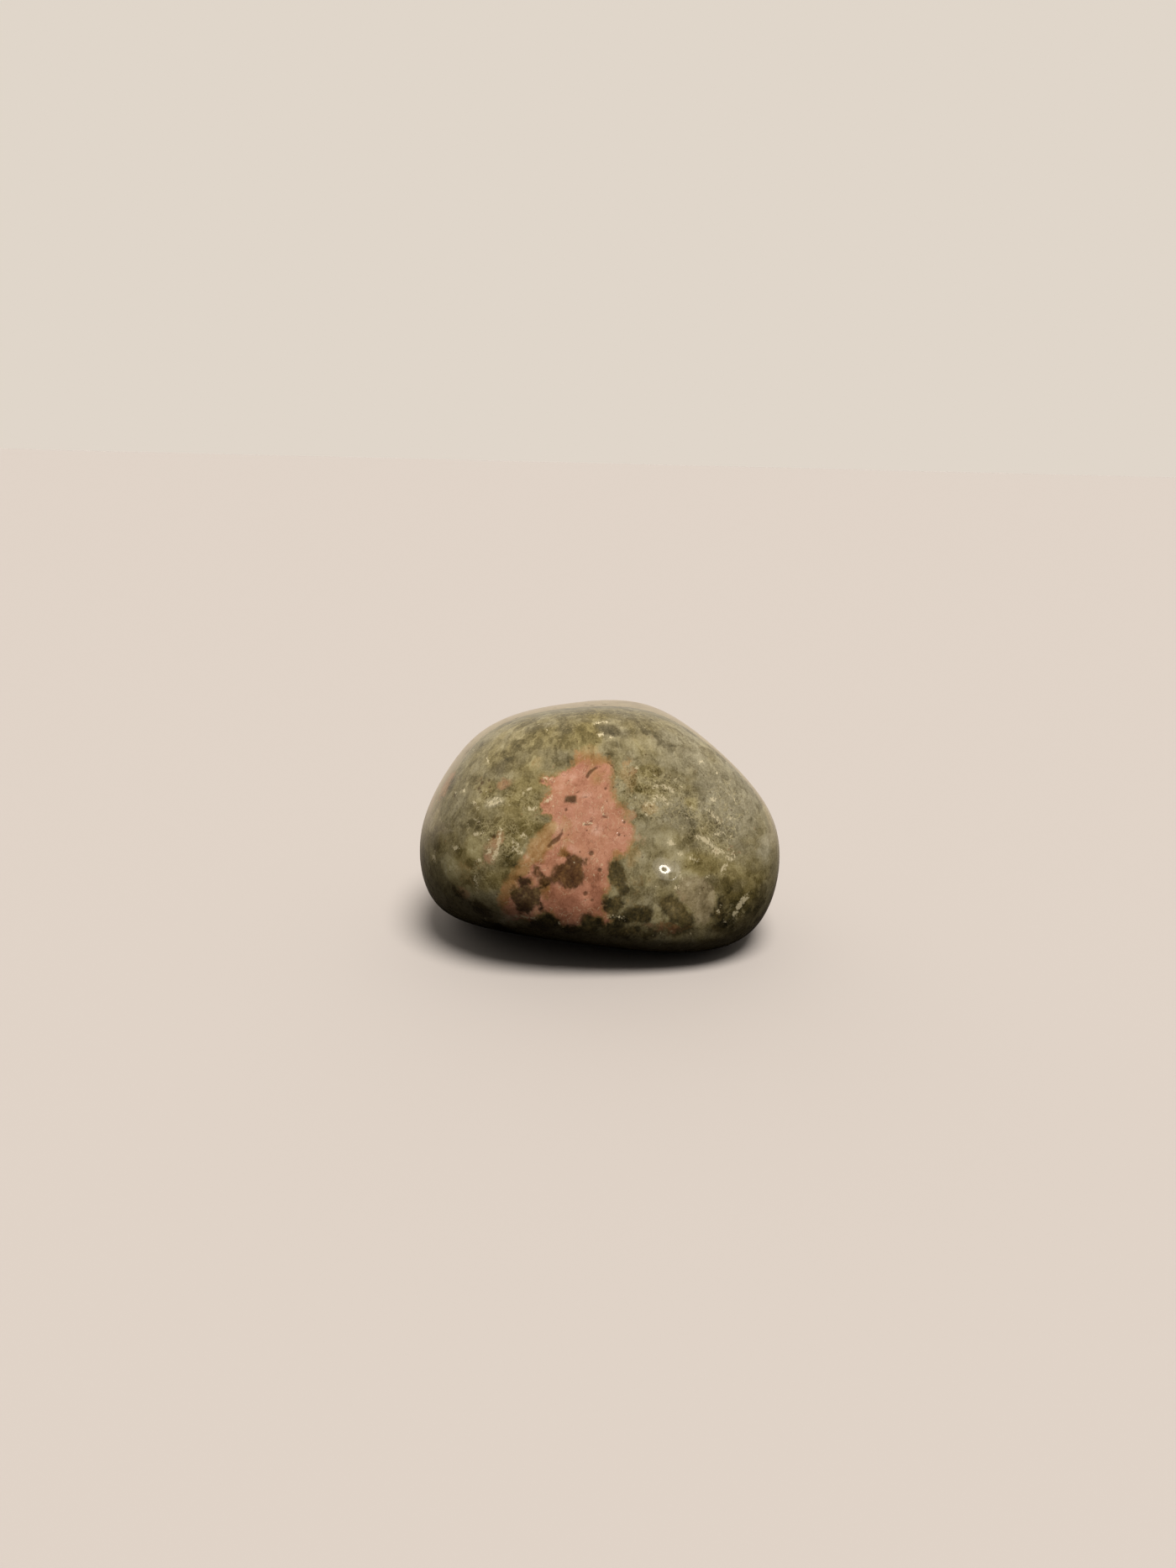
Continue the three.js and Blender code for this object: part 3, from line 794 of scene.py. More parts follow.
# %% Cracks, pinholes and the square grain
# Dark cracks in the pink: half width in mm, and the pixels that a crack runs through
CRACKS = [
    (0.12, [(699, 925), (701, 921), (704, 918)]), (0.08, [(704, 918), (710, 914)]),
    (0.04, [(710, 914), (715, 913)]), (0.03, [(670, 987), (668, 993)]),
    (0.10, [(668, 993), (665, 998)]), (0.17, [(664, 999), (658, 1003)]),
    (0.11, [(658, 1003), (653, 1008)]), (0.08, [(642, 930), (647, 930)]),
    (0.05, [(655, 930), (658, 931)]), (0.03, [(684, 945), (690, 942)]),
    (0.03, [(690, 950), (699, 949)]), (0.05, [(724, 908), (729, 912), (731, 915)]),
    (0.08, [(718, 972), (722, 973)]), (0.04, [(696, 982), (702, 982)]),
]
# Pinholes: pixel and radius in mm
PINHOLES = [
    (704, 1016, 0.19), (714, 1036, 0.17), (697, 1064, 0.18), (705, 1072, 0.13), (674, 964, 0.12),
    (588, 996, 0.17), (721, 939, 0.11), (574, 932, 0.18), (570, 939, 0.17), (572, 943, 0.13),
    (583, 937, 0.13), (582, 929, 0.12), (704, 978, 0.10), (743, 979, 0.11), (541, 947, 0.15),
    (737, 994, 0.11), (672, 1018, 0.09),
]
# The chlorite grain in the pink that kept its straight sides: half width, half height, turn,
# and how much of the bending it took
SQUARE_GRAIN_PX = (679, 951)
SQUARE_GRAIN = (0.48, 0.28, -2)
SQUARE_BEND = 0.4
print("cracks:", len(CRACKS), "pinholes:", len(PINHOLES))

# %% Fields from the marks
def block_depth(centre, across, upright, turn):
    """The depth in a block with straight sides, in mm."""
    first, second = turned_axes(turn)
    offset = (1 - SQUARE_BEND) * spots + SQUARE_BEND * bent_spots - centre
    return np.minimum(across - abs(offset @ first), upright - abs(offset @ second))


holes = [radius - np.linalg.norm(spots - on_skin(x, y), axis=1) for x, y, radius in PINHOLES]
# The chlorite field also carries painted shade along the bottom edge, the tone field painted shade over the
# crown and the lower front, and the pale field painted glints
fields = {
    "pink": vein,
    "blush": sum_of_tints(BLUSHES),
    "biotite": biotite,
    "chlorite": np.maximum(chlorite, deepest(CHLORITE_AND_SHADE_MARKS)),
    "square": block_depth(on_skin(*SQUARE_GRAIN_PX), *SQUARE_GRAIN),
    "pale": np.maximum(deepest(PALE_GRAINS_AND_GLINTS), along_lines(PALE_LINES)),
    "quartz": quartz,
    "ochre": sum_of_tints(OCHRES),
    "tone": sum_of_tints(TONES_AND_PAINTED_SHADE),
    "yellow": sum_of_tints(YELLOWS),
    "seamed": sum_of_tints(SEAMED),
    "melting": sum_of_tints(MELTING),
    "crack": np.max([along_lines(CRACKS), *holes], axis=0),
}
print("fields:", ", ".join(fields))

# %% [markdown]
# Nobody sees the rest of the pebble in the picture, but it is the same rock. There the bodies
# are drawn at random, from a fixed seed, with the sizes and shares that the front shows.
#
# First comes the question of where that is. Skin that faces away from the camera is hidden. The
# crown's rear half shows in the picture as a line only, so it counts as hidden too.

# %% What the picture doesn't show
RIM_MARGIN, RIM_SOFTNESS = 0.04, 0.03
# The crown counts as hidden from this depth and this height on, in mm
CREST_DEPTH, CREST_HEIGHT, CREST_SOFTNESS = 0.8, 16.5, 0.4

towards_eye = np.array(EYE) - spots
towards_eye /= np.linalg.norm(towards_eye, axis=1)[:, None]
facing = np.sum(skin_directions * towards_eye, axis=1)
beyond_crest = falling((CREST_DEPTH - spots[:, 1]) / CREST_SOFTNESS)
beyond_crest *= falling((CREST_HEIGHT - spots[:, 2]) / CREST_SOFTNESS)
hidden_share = np.maximum(falling((facing + RIM_MARGIN) / RIM_SOFTNESS), beyond_crest)
print("hidden, percent:", round(100 * float(hidden_share.mean())))

# %% [markdown]
# One ellipsoid looks like a ball that was cut, so a patch is a chain of them that wanders
# just under the skin. A chain starts anywhere on the hidden side, or at one of the places
# that would otherwise stay plain green, such as the two ends.

# %% Chains of bodies on the hidden side
# A body lies under the skin by a share of its half height, measured at the pebble's mean
# radius in mm. A chain turns a little at each step, which is a share of the bodies' sizes
SINK, PEBBLE_RADIUS, WANDER, STEP_SHARE = 0.3, 12, 0.5, 0.6
dice = np.random.default_rng(SEED)

# Where a chain may start, by the place on the skin in mm
x, y, z = spots.T
START_AREAS = {
    "hidden": facing < 0,
    "back": (y > 8) & (abs(x) < 5) & (abs(z - 11) < 3),
    "left end": (x < -13) & (y > 0) & (abs(z - 11) < 3),
    "right end": (x > 13) & (y > 1) & (y < 6) & (abs(z - 9) < 3),
    "crown": (z > 18) & (y > 5) & (abs(x) < 6),
    "crest": (z > 18) & (y > 1) & (abs(x) < 9),
}


def chains(area, count, steps, sizes, sink=SINK):
    """Chains of ellipsoids under an area's skin, as rows of centre, two half sizes and turn."""
    starts = np.flatnonzero(START_AREAS[area])
    bodies = []
    for _ in range(count):
        middle = spots[dice.choice(starts)]
        heading = dice.normal(size=3)
        for _ in range(dice.integers(*steps)):
            across, upright = dice.uniform(*sizes, 2)
            turn = dice.uniform(0, 180)
            bodies.append((middle * (1 - sink * upright / PEBBLE_RADIUS), across, upright, turn))
            heading = heading / np.linalg.norm(heading) + WANDER * dice.normal(size=3)
            step = heading / np.linalg.norm(heading) * (across + upright) * STEP_SHARE
            middle = np.array(skin.find_nearest(Vector(middle + step))[0])
    return bodies


def deepest_of(bodies):
    """The depth in the nearest of many bodies, in mm."""
    depth = np.full(len(spots), FAR_OUTSIDE)
    for centre, across, upright, turn in bodies:
        reach = body_reach(centre, across, upright, turn, (across + upright) / 2)
        depth = np.maximum(depth, (1 - reach) * min(across, upright))
    return depth


def add_bodies(name, bodies):
    """Joins bodies to a field, but only where the camera doesn't look."""
    hidden_depth = deepest_of(bodies) + (1 - hidden_share) * FAR_OUTSIDE
    fields[name] = np.maximum(fields[name], hidden_depth)


def add_tints(name, area, count, sizes, strengths, steps=(1, 2)):
    """Adds tints of random strength to a field, but only where the camera doesn't look."""
    tint = np.zeros(len(spots))
    for centre, across, upright, turn in chains(area, count, steps, sizes, sink=0.0):
        reach = body_reach(centre, across, upright, turn, (across + upright) / 2)
        tint += dice.uniform(*strengths) * falling((reach - 1) * TINT_EDGE)
    fields[name] += tint * hidden_share


print("points where a chain may start:", {area: int(points.sum()) for area, points in START_AREAS.items()})

# %% [markdown]
# The hidden side gets its patches now. The pink ones come first, and each biotite grain takes the
# middle of a pink body, because that is where the front shows them. The order of these calls
# is kept, because every one of them draws from the same dice.

# %% Pink and dark patches of the hidden side
# Area, number of chains, bodies in a chain, half sizes in mm
PINK_CHAINS = (
    ("back", 2, (6, 9), (0.9, 2.6)), ("left end", 1, (5, 7), (0.8, 2.0)), ("hidden", 5, (4, 9), (0.7, 2.2)),
    ("right end", 1, (5, 7), (0.8, 2.0)), ("crown", 1, (4, 6), (0.8, 1.8)),
)
BIOTITE_COUNT, BIOTITE_SIZES = 24, (0.3, 1.1)

pink_bodies = []
for area, count, steps, sizes in PINK_CHAINS:
    pink_bodies += chains(area, count, steps, sizes)
add_bodies("pink", pink_bodies)

carriers = dice.integers(len(pink_bodies), size=BIOTITE_COUNT)
grains = chains("hidden", BIOTITE_COUNT, (1, 2), BIOTITE_SIZES)
add_bodies("biotite", [(pink_bodies[i][0], *grain[1:]) for i, grain in zip(carriers, grains)])
print("pink bodies:", len(pink_bodies))

# %% The other minerals of the hidden side
# Field, area, number of chains, bodies in a chain, half sizes in mm
MORE_BODIES = (
    ("chlorite", "hidden", 26, (1, 5), (0.3, 1.0)),
    ("pale", "hidden", 70, (1, 4), (0.06, 0.3)),
    ("quartz", "hidden", 6, (2, 5), (0.5, 1.4)),
)
# Field, area, number, half sizes in mm, strengths, and tints in a chain where they form one
MORE_TINTS = (
    ("tone", "hidden", 260, (0.3, 1.2), (-0.28, 0.14)),
    ("yellow", "hidden", 60, (0.8, 2.4), (-0.7, 1.0)),
    ("seamed", "hidden", 30, (1.0, 2.6), (0.4, 1.0)),
    ("melting", "hidden", 40, (0.8, 2.2), (0.2, 1.0)),
    ("blush", "hidden", 12, (0.3, 1.0), (0.4, 0.9), (2, 6)),
    ("ochre", "hidden", 18, (0.3, 1.2), (0.4, 0.9), (2, 6)),
)
CREST_BODIES = (
    ("pink", "crest", 1, (3, 5), (0.6, 1.4)),
    ("chlorite", "crest", 5, (1, 4), (0.3, 0.7)),
    ("pale", "crest", 6, (1, 4), (0.06, 0.3)),
)
CREST_TINTS = (
    ("tone", "crest", 14, (0.4, 1.4), (-0.22, 0.12)),
    ("tone", "crest", 5, (1.2, 2.6), (-0.14, 0.08)),
    ("yellow", "crest", 6, (1.0, 2.6), (-0.8, 0.8)),
)

for more_bodies, more_tints in ((MORE_BODIES, MORE_TINTS), (CREST_BODIES, CREST_TINTS)):
    for name, *row in more_bodies:
        add_bodies(name, chains(*row))
    for row in more_tints:
        add_tints(*row)

for name, values in fields.items():
    layer = mesh.attributes.new(name, "FLOAT", "POINT")
    layer.data.foreach_set("value", values.astype(np.float32))
    print(f"{name}: {values.min():.2f} to {values.max():.2f}")

# %% [markdown]
# A crack is a real groove, so it moves the skin and not only its colour.

# %% Sink the cracks
CRACK_DEPTH, CRACK_SLOPE = 0.05, 0.08
sink = CRACK_DEPTH * np.clip(fields["crack"] / CRACK_SLOPE + 0.5, 0, 1)
sunk_spots = spots - skin_directions * sink[:, None]
mesh.vertices.foreach_set("co", (sunk_spots * MM).ravel())
mesh.update()
print("points in cracks and pinholes:", int((fields["crack"] > 0).sum()))

# %% [markdown]
# The finish. Tumbled unakite is a dense rock, ground with ever finer grit and polished with
# an oxide, so it has a wet, glassy gloss over a granular, opaque body. Epidote bends light
# strongly (1.73) and feldspar less (1.53), so the mean is about 1.6.
#
# Each mineral has five shades, from the darkest to the palest that it shows. Olive and grey
# epidote make the ground. Feldspar is salmon, in places rose, and tan where iron has stained it.
# Biotite is a brown black mica, and chlorite a green black one, which both stay duller than
# the hard minerals beside them. Quartz is a smoky grey, and lets the ground shine through.

# %% The unakite's colours
EPIDOTE_OLIVE = ("#373116", "#62572f", "#8c8052", "#a99f71", "#d2caa0")
EPIDOTE_GREY = ("#3f3a29", "#645d47", "#8c866e", "#aba58d", "#dad6c3")
FELDSPAR = ("#7c5039", "#a67359", "#c08c70", "#d1a38b", "#efd6c2")
FELDSPAR_ROSE = ("#7d513f", "#a7745e", "#c28c77", "#d4a592", "#efd6c7")
FELDSPAR_TAN = ("#6d4722", "#966b41", "#ae825a", "#c29d76", "#e7d2ad")
BIOTITE = ("#1b1107", "#38260f", "#4f3a1f", "#6a4f2c", "#8f6e45")
CHLORITE = ("#15120a", "#2c2613", "#463c22", "#615433", "#877a52")
QUARTZ = ("#544a35", "#7c7056", "#998c70", "#b3a78b", "#d8cfb9")
YELLOW_STAIN = ("#4c3b1b", "#786239", "#9c8255", "#b59b6e", "#dcc9a0")
SHADE_STOPS = (0.0, 0.25, 0.5, 0.75, 1.0)
# The iron stain round the pink, the pale grains and painted glints, the seams, and what fills a crack
OCHRE = "#a5834f"
CREAM = "#e6dbb8"
SEAM_CREAM = "#c4b98e"
CRACK_BROWN = "#402810"

unakite.use_nodes = True
shader = unakite.node_tree
shader.nodes.clear()
field = {name: add(shader, "ShaderNodeAttribute", attribute_name=name).outputs["Fac"] for name in fields}
print("fields that the material reads:", len(field))

# %% [markdown]
# A rock's pattern is a sum of simple ones. Every pattern below takes the place where it is read
# and real sizes in mm, and gives a value that is added to a tone or to a depth. Patterns
# that add to a depth fray the outlines, and patterns that add to a tone make the grain.


# %% Patterns
def summed(*terms):
    """The sum of values, sockets or nodes."""
    result = terms[0]
    for term in terms[1:]:
        result = add(shader, "ShaderNodeMath", [result, term], operation="ADD")
    return result


def swinging(share, swing):
    """A share from 0 to 1 as a value that swings round zero."""
    return add(shader, "ShaderNodeMath", [share, 2 * swing, -swing], operation="MULTIPLY_ADD")


def clouds(where, size, swing, detail=3.0, roughness=0.55):
    """Soft noise of one main size that swings round zero."""
    return swinging(add(shader, "ShaderNodeTexNoise", {
        "Vector": where, "Scale": 1 / size, "Detail": detail, "Roughness": roughness}), swing)


def crystals(where, size, swing, softness=None):
    """Cells that each have one value, which swings round zero. Soft ones melt into each other."""
    sockets = {"Vector": where, "Scale": 1 / size}
    if softness:
        sockets["Smoothness"] = softness
    feature = "SMOOTH_F1" if softness else "F1"
    cells = add(shader, "ShaderNodeTexVoronoi", sockets, feature=feature)
    return swinging(add(shader, "ShaderNodeSeparateColor", [cells.outputs["Color"]]), swing)


def seams(where, size, width):
    """A net of thin lines: the borders between cells of one size."""
    cells = add(shader, "ShaderNodeTexVoronoi", {
        "Vector": where, "Scale": 1 / size}, feature="DISTANCE_TO_EDGE")
    return add(shader, "ShaderNodeMapRange", {"Value": cells, "From Min": width / size, "From Max": 0.0})


def threads(where, size, width):
    """Thin lines that wander: where a noise passes its middle, by less than a small width."""
    level = clouds(where, size, 0.5, 2.0)
    off_line = add(shader, "ShaderNodeMath", [level], operation="ABSOLUTE")
    return add(shader, "ShaderNodeMapRange", {"Value": off_line, "From Min": width, "From Max": 0.0})


def specks(where, spacing, radius, share):
    """Small round spots, at a share of the points of a loose grid."""
    cells = add(shader, "ShaderNodeTexVoronoi", {"Vector": where, "Scale": 1 / spacing})
    chance = add(shader, "ShaderNodeSeparateColor", [cells.outputs["Color"]])
    chosen = add(shader, "ShaderNodeMath", [chance, share], operation="LESS_THAN")
    near = add(shader, "ShaderNodeMapRange", {
        "Value": cells.outputs["Distance"], "From Min": radius / spacing, "From Max": 0.5 * radius / spacing})
    return add(shader, "ShaderNodeMath", [chosen, near], operation="MULTIPLY")


def inside(value, soft, strength=1.0):
    """A share that goes from 0 to its strength where a depth passes zero."""
    return add(shader, "ShaderNodeMapRange", {
        "Value": value, "From Min": -soft, "From Max": soft, "To Max": strength},
        interpolation_type="SMOOTHSTEP")


def mineral(tone, colours):
    """A mineral's colour: from its darkest at tone 0 to its palest at tone 1."""
    shades = add(shader, "ShaderNodeValToRGB", [tone])
    shades.color_ramp.elements.remove(shades.color_ramp.elements[1])
    shades.color_ramp.elements[0].color = linear(colours[0])
    for stop, colour in zip(SHADE_STOPS[1:], colours[1:]):
        shades.color_ramp.elements.new(stop).color = linear(colour)
    return shades


def covered(under, shares, over):
    """One colour over another, by the product of one or more shares."""
    product, *factors = shares
    for factor in factors:
        product = add(shader, "ShaderNodeMath", [product, factor], operation="MULTIPLY")
    return add(shader, "ShaderNodeMix", {0: product, 6: under, 7: over}, data_type="RGBA").outputs[2]

# %% [markdown]
# The epidote grew in streaks that fan out from above the crown. So the patterns are read at
# places that are squeezed along lines from one point, which stretches the patterns along
# them. A wide, slow sway keeps the fan from being regular, and a short push bends each crystal.

# %% Where the patterns are read, in mm
FAN_POINT = (-1.2, -3.0, 27.0)
FAN_REACH, FAN_STRETCH = 11.0, 1.40
# Size of each noise and how far it moves a place, in mm
SWAY_SIZE, SWAY_REACH = 7.0, 1.6
PUSH_SIZE, PUSH_REACH = 0.8, 0.8


def moved(place, by, reach):
    """A place, moved by a coloured noise."""
    by = add(shader, "ShaderNodeVectorMath", [by.outputs["Color"], (0.5, 0.5, 0.5)], operation="SUBTRACT")
    by = add(shader, "ShaderNodeVectorMath", {0: by, "Scale": reach}, operation="SCALE")
    return add(shader, "ShaderNodeVectorMath", [place, by], operation="ADD")


coordinates = add(shader, "ShaderNodeTexCoord").outputs["Object"]
in_mm = add(shader, "ShaderNodeMapping", {"Vector": coordinates, "Scale": (1 / MM, 1 / MM, 1 / MM)})
sway = add(shader, "ShaderNodeTexNoise", {"Vector": in_mm, "Scale": 1 / SWAY_SIZE, "Detail": 0.0})
swayed = moved(in_mm, sway, SWAY_REACH)
from_fan = add(shader, "ShaderNodeVectorMath", [swayed, FAN_POINT], operation="SUBTRACT")
fan_distance = add(shader, "ShaderNodeVectorMath", [from_fan], operation="LENGTH").outputs["Value"]
squeezed = add(shader, "ShaderNodeMath", [
    fan_distance, 1 / FAN_STRETCH, FAN_REACH * (1 - 1 / FAN_STRETCH)], operation="MULTIPLY_ADD")
fan_direction = add(shader, "ShaderNodeVectorMath", [from_fan], operation="NORMALIZE")
fanned = add(shader, "ShaderNodeVectorMath", {0: fan_direction, "Scale": squeezed}, operation="SCALE")
push = add(shader, "ShaderNodeTexNoise", {
    "Vector": fanned, "Scale": 1 / PUSH_SIZE, "Detail": 4.0, "Roughness": 0.6})
place = moved(fanned, push, PUSH_REACH)
print("shader nodes so far:", len(shader.nodes))

# %% [markdown]
# The green ground. Epidote crystals of about 0.35 mm lie in grains of 0.9 mm, over slow clouds
# of 2.4 mm, with a dust of 0.14 mm that gives the polish its sparkle. The skin's own fields
# make it paler or darker, with painted shade among the darker parts, and yellower or greyer.
# Where it is seamed, the rock is broken up, so it has more dust there too.

# %% The green ground
CLOUD, GRAIN, CRYSTAL, DUST = 2.4, 0.9, 0.35, 0.14

fine = summed(crystals(place, CRYSTAL, 0.08), clouds(place, CRYSTAL, 0.12, 2.0),
              clouds(in_mm, DUST, 0.18, 1.0))
scattered = inside(summed(field["seamed"], -0.6, clouds(in_mm, 0.6, 0.9, 1.0)), 0.3)
grit = add(shader, "ShaderNodeMath", [scattered, clouds(in_mm, 0.13, 0.30, 1.0)], operation="MULTIPLY")
tone = summed(0.45, field["tone"], clouds(place, CLOUD, 0.04), crystals(place, GRAIN, 0.05),
              crystals(place, GRAIN, 0.05, softness=0.5), fine, grit)
yellowness = inside(summed(field["yellow"], clouds(place, 1.3, 0.7)), 0.8, 0.85)
rock = covered(mineral(tone, EPIDOTE_GREY), [yellowness], mineral(tone, EPIDOTE_OLIVE))

# %% [markdown]
# The feldspar is one mineral in three colours. It breaks along straight planes and has few
# grains, so its clouds are soft and its threads thin: dark ones where it is cracked, and pale
# ones where it has healed. Near its rim it turns tan.

# %% Feldspar
torn = summed(clouds(place, 0.7, 0.40), clouds(place, 0.25, 0.35, 1.0))
pink_depth = summed(field["pink"], torn)
near_rim = add(shader, "ShaderNodeMapRange", {
    "Value": pink_depth, "From Min": 0.5, "From Max": 0.0, "To Max": 0.55})
tan_share = inside(summed(field["ochre"], -0.55, near_rim, clouds(place, 0.9, 0.9)), 0.4)
rose_share = inside(clouds(place, 1.6, 0.8, 1.0), 0.55, 0.7)
feldspar_tone = summed(0.48, field["tone"], clouds(place, 1.3, 0.16), clouds(place, 0.45, 0.26, 4.0, 0.65),
                       clouds(in_mm, DUST, 0.14, 1.0))
feldspar = covered(mineral(feldspar_tone, FELDSPAR), [rose_share], mineral(feldspar_tone, FELDSPAR_ROSE))
feldspar = covered(feldspar, [tan_share], mineral(feldspar_tone, FELDSPAR_TAN))
feldspar = covered(feldspar, [threads(place, 1.2, 0.014), 0.40], linear(FELDSPAR[0]))
feldspar = covered(feldspar, [threads(place, 0.8, 0.012), 0.30], linear(CREAM))

# %% [markdown]
# Now the layers go on, the deepest first: feldspar that only shines through the epidote, the
# net of pale seams, and the quartz. Then comes the pink vein with its ochre rim. Its edge is
# crisp where it broke and soft where it melted into the green.

# %% Blushes, seams, quartz and the pink vein
blush = summed(field["blush"], -0.7, clouds(place, 0.6, 0.7), clouds(place, 0.25, 0.5, 1.0))
rock = covered(rock, [inside(blush, 0.4, 0.5)], feldspar)
rock = covered(rock, [seams(place, 0.8, 0.05), scattered, 0.30], linear(SEAM_CREAM))
rock = covered(rock, [threads(place, 0.6, 0.03), scattered, 0.35], linear(SEAM_CREAM))
quartz_tone = summed(tone, clouds(place, 0.45, 0.36, 2.0))
rock = covered(rock, [inside(summed(field["quartz"], torn), 0.25, 0.6)], mineral(quartz_tone, QUARTZ))

rock = covered(rock, [inside(summed(pink_depth, 0.20), 0.28, 0.5)], linear(OCHRE))
softness = add(shader, "ShaderNodeMath", [field["melting"], 0.5, 0.13], operation="MULTIPLY_ADD")
edge = summed(pink_depth, clouds(in_mm, 0.2, 0.2, 1.0))
edge = add(shader, "ShaderNodeMath", [edge, softness], operation="DIVIDE")
rock = covered(rock, [inside(edge, 1.0)], feldspar)
stain = summed(field["ochre"], -0.7, clouds(place, 0.6, 0.9), clouds(place, 0.25, 0.6, 1.0))
rock = covered(rock, [inside(stain, 0.5, 0.5)], mineral(tone, YELLOW_STAIN))
print("shader nodes so far:", len(shader.nodes))

# %% [markdown]
# The dark grains lie over the pink. Each has a thin halo, because it stained the rock round it.
# Last come the smallest things: cream grains, painted glints, which are cream points where a
# cleavage face would flash, dark ones where a grain broke out, and the cracks.

# %% Dark grains, cream grains, specks and cracks
HALO, HALO_STRENGTH = 0.15, 0.35

frayed = summed(0.05, clouds(place, 0.7, 0.38), clouds(place, 0.3, 0.24, 1.0))
dark_tone = summed(0.40, field["tone"], clouds(place, 0.5, 0.5), clouds(in_mm, 0.2, 0.42, 1.0),
                   crystals(place, 0.4, 0.10))
# The chlorite layer also paints the shade along the bottom edge
for name, colours in (("chlorite", CHLORITE), ("biotite", BIOTITE)):
    dark_depth = summed(field[name], frayed)
    rock = covered(rock, [inside(summed(dark_depth, HALO), 0.35, HALO_STRENGTH)], mineral(dark_tone, colours))
    dark_depth = summed(dark_depth, clouds(place, 0.4, 0.3, 2.0))
    rock = covered(rock, [inside(dark_depth, 0.22, 0.85)], mineral(dark_tone, colours))
rock = covered(rock, [inside(field["square"], 0.12, 0.80)], mineral(dark_tone, CHLORITE))

# Pale grains, with painted glints among them
pale_depth = summed(field["pale"], clouds(place, DUST, 0.32, 1.0))
rock = covered(rock, [inside(pale_depth, 0.08, 0.60)], linear(CREAM))
# Painted glints: cream points strewn at random, where a cleavage face would flash
rock = covered(rock, [specks(place, 0.5, 0.08, 0.09), 0.5], linear(CREAM))
rock = covered(rock, [specks(in_mm, 0.5, 0.09, 0.20), 0.6], linear(CRACK_BROWN))
rock = covered(rock, [specks(place, 0.30, 0.09, 0.30), scattered, 0.45], linear(CRACK_BROWN))
rock = covered(rock, [specks(place, 0.37, 0.10, 0.22), scattered, 0.45], linear(CREAM))
rock = covered(rock, [inside(summed(field["crack"], 0.015), 0.07, 0.70)], linear(CRACK_BROWN))

# %% [markdown]
# The polish is a mirror that is a little softened. Mica is too soft to take it, so the dark
# grains come out duller, and their relief shows faintly.

# %% The polish
ROCK_IOR = 1.6
POLISH_ROUGHNESS = 0.02
MICA_DULLNESS, STONE_DULLNESS = 0.10, 0.002
RELIEF_DEPTH = 0.02

dull = summed(inside(field["biotite"], 0.2, MICA_DULLNESS), inside(field["chlorite"], 0.2, MICA_DULLNESS),
              STONE_DULLNESS)
relief = add(shader, "ShaderNodeBump", {"Strength": dull, "Distance": RELIEF_DEPTH * MM, "Height": fine})
surface = add(shader, "ShaderNodeBsdfPrincipled", {
    "Base Color": rock, "Roughness": summed(dull, POLISH_ROUGHNESS), "IOR": ROCK_IOR, "Normal": relief})
add(shader, "ShaderNodeOutputMaterial", {"Surface": surface})
print("shader nodes:", len(shader.nodes))

# %% [markdown]
# The studio: a plain pale floor, one large soft lamp above and to the right, a weak one behind,
# and a sky for fill. The pebble in the picture lies on a dark table, which sends it no light
# from below and shows as darkness in its polish. So the pale floor is there for the camera
# only, and the pebble sees a dark sheet just under it, with painted shade darkest near the pebble,
# which pales towards the back until it is as bright as the sky there. So no horizon shows in the polish.

# %% Floor and table
FLOOR_HALF = 3.0
FLOOR_COLOUR = "#aeaaa8"
TABLE_BELOW = 0.0005
# Painted shade in the table's colour: dark near the pebble, pale far from it
TABLE_NEAR, TABLE_FAR = "#1c1917", "#a39b90"
TABLE_PALES_FROM, TABLE_PALES_TO = -0.005, 0.060


def sheet(name, height, paper):
    """A square sheet that belongs to the stage."""
    corners = [(-FLOOR_HALF, -FLOOR_HALF), (FLOOR_HALF, -FLOOR_HALF), (FLOOR_HALF, FLOOR_HALF),
               (-FLOOR_HALF, FLOOR_HALF)]
    flat = bpy.data.meshes.new(name)
    flat.from_pydata([(x, y, height) for x, y in corners], [], [(0, 1, 2, 3)])
    flat.materials.append(paper)
    made = bpy.data.objects.new(name, flat)
    bpy.context.scene.collection.objects.link(made)
    made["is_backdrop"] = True
    return made


def empty_material(name):
    """A material whose nodes are still to be added, with their tree."""
    made = bpy.data.materials.new(name)
    made.use_nodes = True
    made.node_tree.nodes.clear()
    return made, made.node_tree


# Matte paper takes light alike from all sides and shows no gloss
paper, nodes = empty_material("matte paper")
add(nodes, "ShaderNodeOutputMaterial", {
    "Surface": add(nodes, "ShaderNodeBsdfDiffuse", {"Color": linear(FLOOR_COLOUR)})})
floor = sheet("floor", 0.0, paper)
floor.visible_diffuse = floor.visible_glossy = floor.visible_shadow = False

# The dark table, without gloss here, because only its darkness shows in the pebble
# Its colour is painted shade: darkest near the pebble, where the pebble's shade falls, and paler towards the
# back
table_paint, nodes = empty_material("dark table paint")
table_place = add(nodes, "ShaderNodeTexCoord").outputs["Object"]
paling = add(nodes, "ShaderNodeMapRange", {
    "Value": add(nodes, "ShaderNodeSeparateXYZ", [table_place]).outputs["Y"],
    "From Min": TABLE_PALES_FROM, "From Max": TABLE_PALES_TO}, interpolation_type="SMOOTHSTEP")
shade = add(nodes, "ShaderNodeMix", {
    0: paling, 6: linear(TABLE_NEAR), 7: linear(TABLE_FAR)}, data_type="RGBA")
add(nodes, "ShaderNodeOutputMaterial", {
    "Surface": add(nodes, "ShaderNodeBsdfDiffuse", {"Color": shade.outputs[2]})})
table = sheet("dark_table", -TABLE_BELOW, table_paint)
table.visible_camera = False
print("floor and table, half a side in m:", FLOOR_HALF)

# %% [markdown]
# The key lamp is so far off that it lights the whole floor evenly, and as wide in the sky as
# a half-metre lamp that hangs a metre away. A weak and very wide lamp behind keeps the back
# from being dull. Neither shows in the polish, where their discs would look like windows.

